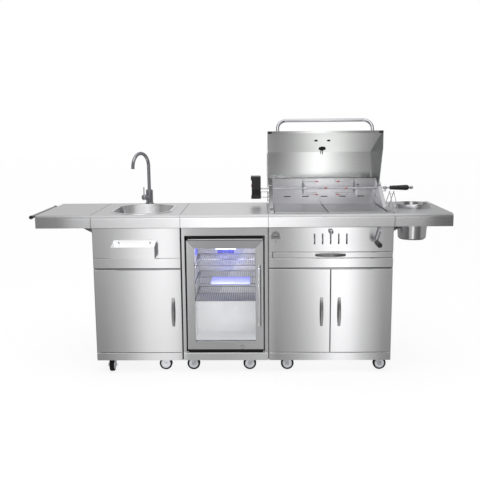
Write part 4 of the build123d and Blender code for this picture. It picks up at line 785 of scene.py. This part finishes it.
# %% Repeat helpers
def shape_object(name, work):
    """A shape to be copied; it leaves the scene once the copies are real."""
    bmesh.ops.recalc_face_normals(work, faces=work.faces)
    mesh = bpy.data.meshes.new(name)
    work.to_mesh(mesh)
    work.free()
    made = bpy.data.objects.new(name, mesh)
    bpy.context.scene.collection.objects.link(made)
    return made


def grow(name, carrier, tree, values, shape, body):
    """Runs a repeat tree on a carrier mesh and keeps the result as a plain piece."""
    made = bpy.data.objects.new(name, carrier)
    bpy.context.scene.collection.objects.link(made)
    repeat = made.modifiers.new("repeat", "NODES")
    repeat.node_group = tree
    sockets = {s.name: s.identifier for s in tree.interface.items_tree if s.in_out == "INPUT"}
    for label, value in {"Shape": shape, **values}.items():
        repeat[sockets[label]] = value
    ready = made.evaluated_get(bpy.context.evaluated_depsgraph_get())
    plain = bpy.data.meshes.new_from_object(ready)
    made.modifiers.clear()
    made.data = plain
    bpy.data.objects.remove(shape)
    return settle(made, body)


def on_points(name, spots, shape, finish, body, size=1.0):
    """Copies a shape to (place, aim) spots."""
    carrier = bpy.data.meshes.new(name)
    carrier.from_pydata([place for place, aim in spots], [], [])
    aims = carrier.attributes.new("aim", "FLOAT_VECTOR", "POINT")
    aims.data.foreach_set("vector", [c for place, aim in spots for c in aim])
    return grow(name, carrier, scatter, {"Size": size, "Finish": finish}, shape, body)


def in_row(name, shape, count, step, finish, body):
    """Copies a shape count times along a step."""
    carrier = bpy.data.meshes.new(name)
    values = {"Count": count, "Step": step, "Finish": finish}
    return grow(name, carrier, row, values, shape, body)


# %% [markdown]
# ## Inside the fridge
# The shelves are plated wire, a few millimetres thick and close together. The solids carry them as
# coarse bars, and a striped sheet could stand for them, but it would show no depth. So round wires
# in a row take their place. Under the ceiling hangs the fan cover with a dark grille. A narrow
# blue beam runs from it to the back wall, a blue drip sheet lies on the middle shelf, and two
# white lamps light the rest.

# %% Fridge shelves
shelf_low, shelf_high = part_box("fridge_shelves")
shelf_shares = (0.39, 0.553, 0.729)
room_low = casing_low.z + casing_wall
room_high = casing_high.z - casing_wall
wire_radius = 1.5 * mm
wire_pitch = 13 * mm
frame_radius = 3 * mm
round_sides = 8


def wire(work, start, end, radius):
    """Adds a round bar between two places."""
    line = Vector(end) - Vector(start)
    profile = [(0, 0), (radius, 0), (radius, line.length), (0, line.length)]
    turned(work, profile, start, line, round_sides)


def wire_shelf(index, share):
    """One shelf: a frame, a stiffening bar and a row of wires from front to back."""
    z = room_low + share * (room_high - room_low) + frame_radius
    left, right = shelf_low.x + frame_radius, shelf_high.x - frame_radius
    near, far = shelf_low.y + frame_radius, shelf_high.y - frame_radius
    work = bmesh.new()
    for x in (left, right):
        wire(work, (x, near, z), (x, far, z), frame_radius)
    for depth, thickness in ((0.0, 1.0), (0.5, 0.8), (1.0, 1.0)):
        y = near + depth * (far - near)
        wire(work, (left, y, z), (right, y, z), thickness * frame_radius)
    frame_piece = piece(f"fridge_shelf_frame_{index}", work, shelf_wire, root)
    count = int((right - left) / wire_pitch)
    step = (right - left) / count
    master = bmesh.new()
    lift = z + frame_radius - wire_radius
    wire(master, (left + step, near, lift), (left + step, far, lift), wire_radius)
    wires = in_row(f"fridge_shelf_wires_{index}", shape_object("shelf wire", master), count - 1,
                   (step, 0, 0), shelf_wire, root)
    return frame_piece, wires


shelf_pieces = [part for i, share in enumerate(shelf_shares) for part in wire_shelf(i, share)]
for part in shelf_pieces:
    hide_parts("fridge_shelves")
print("fridge shelf pieces", len(shelf_pieces))

# %% Fan grille and light strips
fan_low, fan_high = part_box("fridge_fan_light")
fan_x = middle("fridge_fan_light").x
fan_skin = 1.5 * mm
grille_drop = 16 * mm
slat_count, slat_step = 13, 7.6 * mm
work = bmesh.new()
rounded_box(work, (fan_low.x + 12 * mm, fan_low.y + 4 * mm, fan_low.z - grille_drop),
            (fan_high.x - 12 * mm, fan_high.y - 20 * mm, fan_low.z + 1 * mm), 3 * mm)
piece("fan_blue_bar", work, blue_glow, root)

master = bmesh.new()
rounded_box(master, (fan_low.x + 10 * mm, fan_low.y - fan_skin, fan_low.z - grille_drop - 2 * mm),
            (fan_low.x + 14 * mm, fan_low.y + 3 * mm, fan_low.z + 6 * mm), 0.6 * mm)
in_row("fan_grille", shape_object("grille slat", master), slat_count, (slat_step, 0, 0),
       casing_black, root)

strip_inset, strip_half = 5 * mm, 4 * mm
work = bmesh.new()
for x in (casing_low.x + casing_wall + strip_inset, casing_high.x - casing_wall - strip_inset):
    rounded_box(work, (x - strip_half, 0.0, room_high - 125 * mm),
                (x + strip_half, 40 * mm, room_high - 20 * mm), 2 * mm)
piece("fridge_light_strips", work, blue_glow, root)
print("fan cover", [round(v, 3) for v in fan_low], [round(v, 3) for v in fan_high])

# %% Fridge lamps
softbox("fridge_lamp", place=(fan_x, casing_low.y + 70 * mm, room_high - 12 * mm),
        aim=(fan_x, casing_low.y + 190 * mm, room_low), size=(0.34, 0.10), watts=2.4,
        colour=(1.0, 1.0, 0.98))
softbox("fridge_blue_lamp", place=(fan_x, fan_high.y + 30 * mm, fan_low.z - 8 * mm),
        aim=(fan_x, casing_high.y, fan_low.z - 110 * mm), size=(0.05, 0.03), watts=0.24,
        colour=(0.12, 0.16, 1.0), spread=radians(44))
softbox("fridge_low_lamp", place=(fan_x, casing_low.y + 60 * mm, casing_low.z + 250 * mm),
        aim=(fan_x, casing_high.y, casing_low.z + 60 * mm), size=(0.30, 0.06), watts=0.15,
        colour=(1.0, 1.0, 0.97))
print("lamps", len(bpy.data.lights))

# %% Drip sheet and hinge rail
sheet_z = room_low + shelf_shares[1] * (room_high - room_low) + 2 * frame_radius + 0.5 * mm
work = bmesh.new()
rounded_box(work, (fan_x - 88 * mm, -140 * mm, sheet_z),
            (fan_x + 140 * mm, 55 * mm, sheet_z + 2 * mm), 0.6 * mm)
piece("drip_sheet", work, sheet_blue, root)

work = bmesh.new()
rounded_box(work, (door_low.x + 12 * mm, casing_low.y - 12 * mm, door_high.z + 5 * mm),
            (door_high.x - 4 * mm, casing_low.y - 1 * mm, door_high.z + 10 * mm), 1 * mm)
piece("hinge_rail", work, bright_chrome, root)
print("drip sheet at z", round(sheet_z, 4))

# %% [markdown]
# ## The fridge door
# A soft black seal runs round the back of the door, and the lower rail has a small lock with a key
# slot. The seal could be one bent tube, but here its corners are square, so four bars make it. Both
# move with the door.

# %% Door seal
seal_inset = 24 * mm
seal_width = 12 * mm
seal_thick = 3.4 * mm
seal_edge = 1.2 * mm


def door_seal():
    """Four soft bars round the back of the door."""
    x0, x1 = door_low.x + seal_inset, door_high.x - seal_inset
    z0, z1 = door_low.z + seal_inset, door_high.z - seal_inset
    y0, y1 = door_high.y, door_high.y + seal_thick
    work = bmesh.new()
    for z in (z0, z1 - seal_width):
        rounded_box(work, (x0, y0, z), (x1, y1, z + seal_width), seal_edge)
    for x in (x0, x1 - seal_width):
        rounded_box(work, (x, y0, z0 + seal_width), (x + seal_width, y1, z1 - seal_width),
                    seal_edge)
    piece("fridge_door_seal", work, seal_black, "fridge_door")


door_seal()
print("door back at y", round(door_high.y, 4))

# %% Door lock
lock_share = 0.72
lock_height = 14 * mm
outward_front, outward_back = (0, -1, 0), (0, 1, 0)


def door_lock():
    """A round lock barrel in a dark ring, with a key slot."""
    x = door_low.x + lock_share * (door_high.x - door_low.x)
    place = (x, door_low.y, door_low.z + lock_height)
    work = bmesh.new()
    turned(work, in_mm((0, -2), (7.5, -2), (7.5, 1.6), (6.5, 2.4), (5, 2), (0, 2)),
           place, outward_front)
    piece("fridge_lock", work, bright_chrome, "fridge_door")
    work = bmesh.new()
    turned(work, in_mm((7.6, -1), (9.4, -1), (9.4, 1.6), (7.6, 1.8), (7.6, -1)),
           place, outward_front)
    bmesh.ops.remove_doubles(work, verts=work.verts, dist=1e-6)
    piece("fridge_lock_ring", work, casing_black, "fridge_door")
    # The key slot is a matt black bar on the barrel's face: painted shade for the hole.
    work = bmesh.new()
    rounded_box(work, (place[0] - 0.8 * mm, place[1] - 2.6 * mm, place[2] - 3.5 * mm),
                (place[0] + 0.8 * mm, place[1] - 1.5 * mm, place[2] + 3.5 * mm), 0.3 * mm)
    piece("fridge_lock_slot", work, casing_black, "fridge_door")
    return place


print("lock at", [round(v, 3) for v in door_lock()])

# %% [markdown]
# ## Seams
# The worktops meet edge to edge, and a dark sealing line shows at each joint. It could be painted
# on by a material, but the seams fall between two solids, so thin strips lie in them. Between the
# cabinets a black strip sits in the gap behind the fronts as painted shade, broader next to the
# sink.

# %% Sealing lines
top_low, top_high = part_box("fridge_worktop")
seam_places = (top_low.x, top_high.x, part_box("left_shelf")[1].x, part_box("right_shelf")[0].x)
seam_half = 1.1 * mm
seam_lift = 0.25 * mm
seam_edge = 0.1 * mm
apron_low = top_low.z + 1 * mm
nose_reach = 14 * mm

work = bmesh.new()
for x in seam_places:
    rounded_box(work, (x - seam_half, top_low.y + nose_reach, top_high.z - 1 * mm),
                (x + seam_half, top_high.y - 2 * mm, top_high.z + seam_lift), seam_edge)
    rounded_box(work, (x - seam_half, top_low.y - seam_lift, apron_low),
                (x + seam_half, top_low.y + 1 * mm, top_high.z - nose_reach), seam_edge)
piece("sealing_lines", work, seal_black, root)
print("seams", len(seam_places))

# %% Gap strips
plinth_low = 82 * mm
gaps = ((top_low.x - 0.4 * mm, 2.2 * mm), (top_high.x, 1.2 * mm))
# Black strips in the gaps between the cabinets: painted shade.
work = bmesh.new()
for x, half in gaps:
    rounded_box(work, (x - half, front_face + 4 * mm, plinth_low),
                (x + half, front_face + 14 * mm, top_low.z - 1 * mm), 0.4 * mm)
piece("gap_strips", work, casing_black, root)
print("gap strips", len(gaps))

# %% [markdown]
# ## Screws
# Pan head screws hold the tray, the bottle opener and the back panels. Each could be modelled in
# place, but they are all alike. So one head is drawn once, a low dome, and a tree sets it on every
# place.

# %% Screw places
opener_low, opener_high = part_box("bottle_opener")
panel_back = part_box("sink_cabinet")[1].y
panel_inset = 24 * mm
panel_base = 110 * mm
panel_rows = 5


def back_panel_spots(node):
    """Screws round the back panel of a cabinet."""
    low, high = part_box(node)
    base = low.z + panel_base
    columns = (low.x + panel_inset, high.x - panel_inset)
    rows = [base + i * (high.z - panel_inset - base) / (panel_rows - 1) for i in range(panel_rows)]
    spots = [((x, panel_back, z), outward_back) for x in columns for z in rows]
    centre = (low.x + high.x) / 2
    return spots + [((centre, panel_back, z), outward_back) for z in (rows[0], rows[-1])]


screw_spots = [((x, tray_high.y - 1.5 * mm, tray_high.z - 14 * mm), outward_front)
               for x in (tray_low.x + 34 * mm, tray_high.x - 34 * mm)]
screw_spots += [(((opener_low.x + opener_high.x) / 2, opener_high.y - 2.5 * mm, z), outward_front)
                for z in (opener_low.z + 7 * mm, opener_high.z - 5 * mm)]
for node in ("sink_cabinet", "fridge_cabinet", "grill_cabinet"):
    screw_spots += back_panel_spots(node)
print("screws", len(screw_spots))

# %% Screw heads
upward = (0, 0, 1)
master = bmesh.new()
turned(master, in_mm((0, -1), (3.6, -1), (3.6, 0.8), (2.8, 1.7), (1.2, 2.1), (0, 2.1)),
       (0, 0, 0), upward, 12)
screws = on_points("panel_screws", screw_spots, shape_object("screw head", master), faucet_metal,
                   root)
print("screw faces", len(screws.data.polygons))

# %% [markdown]
# ## Hood trim
# The open hood shows its inside. The thermometer's nut and two plugs sit on the front facet, and
# black caps close the ends of the lip. The dial itself faces up and back. All of it turns with the
# hood. The places could be read off the solid, but they are worked out from the hinge, as distances
# along the facet from the lip and out of it, so that they stay on the sheet.

# %% Hood places
hinge_place = Vector(joints["hood_hinge"]["pos_m"])
hood_open = radians(92)
hood_turn = Matrix.Rotation(-hood_open, 3, "X")
lip_closed = Vector((0, -395 * mm, -45 * mm))
facet_closed = Vector((0, 126, 247)).normalized()
facet_way = hood_turn @ facet_closed
facet_out = hood_turn @ Vector((0, -facet_closed.z, facet_closed.y))
hood_half = (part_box("hood")[1].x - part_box("hood")[0].x) / 2
hood_sheet = 2 * mm


def on_hood(along, out, x=0.0):
    """A place on the open hood's front facet, from the lip and from its outer face."""
    lip = hinge_place + hood_turn @ lip_closed
    return lip + along * facet_way + out * facet_out + Vector((x, 0, 0))


print("hood lip at", [round(v, 3) for v in on_hood(0, 0)])

# %% Plugs, nut and end caps
inward = -facet_out
plug_along = 119 * mm
plug_places = (-47 * mm, 31 * mm)
work = bmesh.new()
for x in plug_places:
    turned(work, in_mm((0, -0.5), (11, -0.5), (11, 2), (8, 4), (0, 4.4)),
           on_hood(plug_along, -hood_sheet, x), inward, 20)
piece("hood_plugs", work, black_plastic, "hood")

dial_along = 222 * mm
work = bmesh.new()
turned(work, in_mm((21, 0), (22.5, 0.5), (21.5, 6.5), (14, 8.5), (4, 8.5)),
       on_hood(dial_along, -hood_sheet), inward, 40)
bmesh.ops.holes_fill(work, edges=[e for e in work.edges if e.is_boundary])
piece("thermometer_nut", work, black_plastic, "hood")

work = bmesh.new()
for side in (-1, 1):
    tip = on_hood(7 * mm, -5 * mm, side * (hood_half - 13 * mm))
    rounded_box(work, tip - Vector((12 * mm, 8 * mm, 8 * mm)),
                tip + Vector((12 * mm, 6 * mm, 6 * mm)), 2 * mm)
piece("hood_lip_caps", work, black_plastic, "hood")
print("plugs", len(plug_places))

# %% [markdown]
# ## The dial
# The thermometer's face is an enamelled plate with a ring of ticks and a red pointer. A painted
# pattern could show them, but real bars catch the light. The ticks are one small bar copied round
# the face.

# %% Dial plate
dial_face = 10.4 * mm
dial_side = Vector((1, 0, 0))
dial_up = facet_out.cross(dial_side)
work = bmesh.new()
turned(work, in_mm((0, -1), (22.5, -1), (22.5, 0), (0, 0.02)), on_hood(dial_along, dial_face),
       facet_out, 48)
piece("dial_plate", work, dial_white, "hood")
print("dial at", [round(v, 3) for v in on_hood(dial_along, dial_face)])

# %% Ticks and pointer
tick_count = 21
tick_start, tick_sweep = radians(-45), radians(270)
tick_radius = 18.5 * mm
pointer_turn = radians(215)


def dial_spot(turn, radius):
    """A place on the dial and the direction from its middle."""
    way = cos(turn) * dial_side + sin(turn) * dial_up
    return on_hood(dial_along, dial_face + 0.1 * mm) + radius * way, way


master = bmesh.new()
rounded_box(master, (-0.5 * mm, -0.5 * mm, -2.4 * mm), (0.5 * mm, 0.5 * mm, 2.4 * mm), 0.1 * mm)
ticks = [dial_spot(tick_start + i * tick_sweep / (tick_count - 1), tick_radius)
         for i in range(tick_count)]
on_points("dial_ticks", ticks, shape_object("dial tick", master), casing_black, "hood")

master = bmesh.new()
turned(master, in_mm((0, -5), (1.6, -5), (1.4, 4), (0, 15)), (0, 0, 0), upward, 8)
on_points("dial_pointer", [dial_spot(pointer_turn, 0)], shape_object("dial hand", master),
          prong_red, "hood")
print("dial ticks", tick_count)

# %% [markdown]
# ## The spit
# The prongs are dipped in red at their tips, so a hand finds them. The tips could be coloured faces
# of the prongs, but the dip is thicker than the wire. So one tip is a short tapered sleeve, copied
# to the end of each prong and turned the way the prong points.

# %% Prong tips
spit_place = Vector(joints["spit_turn"]["pos_m"])
prong_spread, prong_side = 40 * mm, 17 * mm
fork_rows = ((-125 * mm, 1, 86 * mm, 138 * mm), (191 * mm, -1, 122 * mm, 74 * mm))
tip_spots = []
for place, way, outer, inner in fork_rows:
    prongs = ((0, prong_spread, outer), (0, -prong_spread, outer),
              (prong_side, 0, inner), (-prong_side, 0, inner))
    for dy, dz, length in prongs:
        tip_spots.append((spit_place + Vector((place + way * length, dy, dz)), (way, 0, 0)))

master = bmesh.new()
turned(master, in_mm((0, -18), (3.3, -18), (3.5, -16), (3.3, -8), (1.2, 0), (0, 0.6)),
       (0, 0, 0), upward, 16)
on_points("red_prong_tips", tip_spots, shape_object("prong tip", master), prong_red, "spit")
print("prong tips", len(tip_spots))

# %% [markdown]
# ## The rotisserie motor
# The motor's housing has a row of vents low on its front and a rocker switch on its outer side. The
# vents could be cuts, but the solid stays whole, so raised ribs make them, one rib copied in a row.

# %% Motor vents and switch
motor_low, motor_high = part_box("rotisserie_motor")
rib_count, rib_step = 6, 5.5 * mm
master = bmesh.new()
rounded_box(master, (motor_low.x + 12 * mm, motor_low.y + 1.5 * mm, motor_low.z + 26 * mm),
            (motor_high.x - 8 * mm, motor_low.y + 5 * mm, motor_low.z + 28.5 * mm), 0.6 * mm)
in_row("motor_vents", shape_object("vent rib", master), rib_count, (0, 0, rib_step), casing_black,
       root)

switch = Vector((motor_low.x + 5 * mm, middle("rotisserie_motor").y, motor_low.z + 76 * mm))
switch_half = Vector((3 * mm, 10 * mm, 7 * mm))
work = bmesh.new()
rounded_box(work, switch - switch_half, switch + switch_half, 1.5 * mm)
piece("motor_switch", work, prong_red, root)
print("vent ribs", rib_count)

# %% [markdown]
# ## The sink strainer
# A ring of bars across the drain keeps scraps out of the pipe. A plate with holes would do as well,
# but bars round a boss are what such a drain has, and one bar can be copied round.

# %% Strainer
drain = middle("sink_drain")
drain_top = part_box("sink_drain")[1].z
bar_count = 10
master = bmesh.new()
rounded_box(master, (-1 * mm, -1 * mm, 5 * mm), (1 * mm, 1 * mm, 24.6 * mm), 0.4 * mm)
bars = []
for i in range(bar_count):
    turn = 2 * pi * i / bar_count
    bars.append(((drain.x, drain.y, drain_top - 6 * mm), (cos(turn), sin(turn), 0)))
on_points("strainer_bars", bars, shape_object("strainer bar", master), chrome, root)

work = bmesh.new()
turned(work, in_mm((0, -7), (7, -7), (7.5, -6), (6, -4.5), (0, -4)),
       (drain.x, drain.y, drain_top), upward, 24)
piece("strainer_boss", work, chrome, root)
print("strainer bars", bar_count)
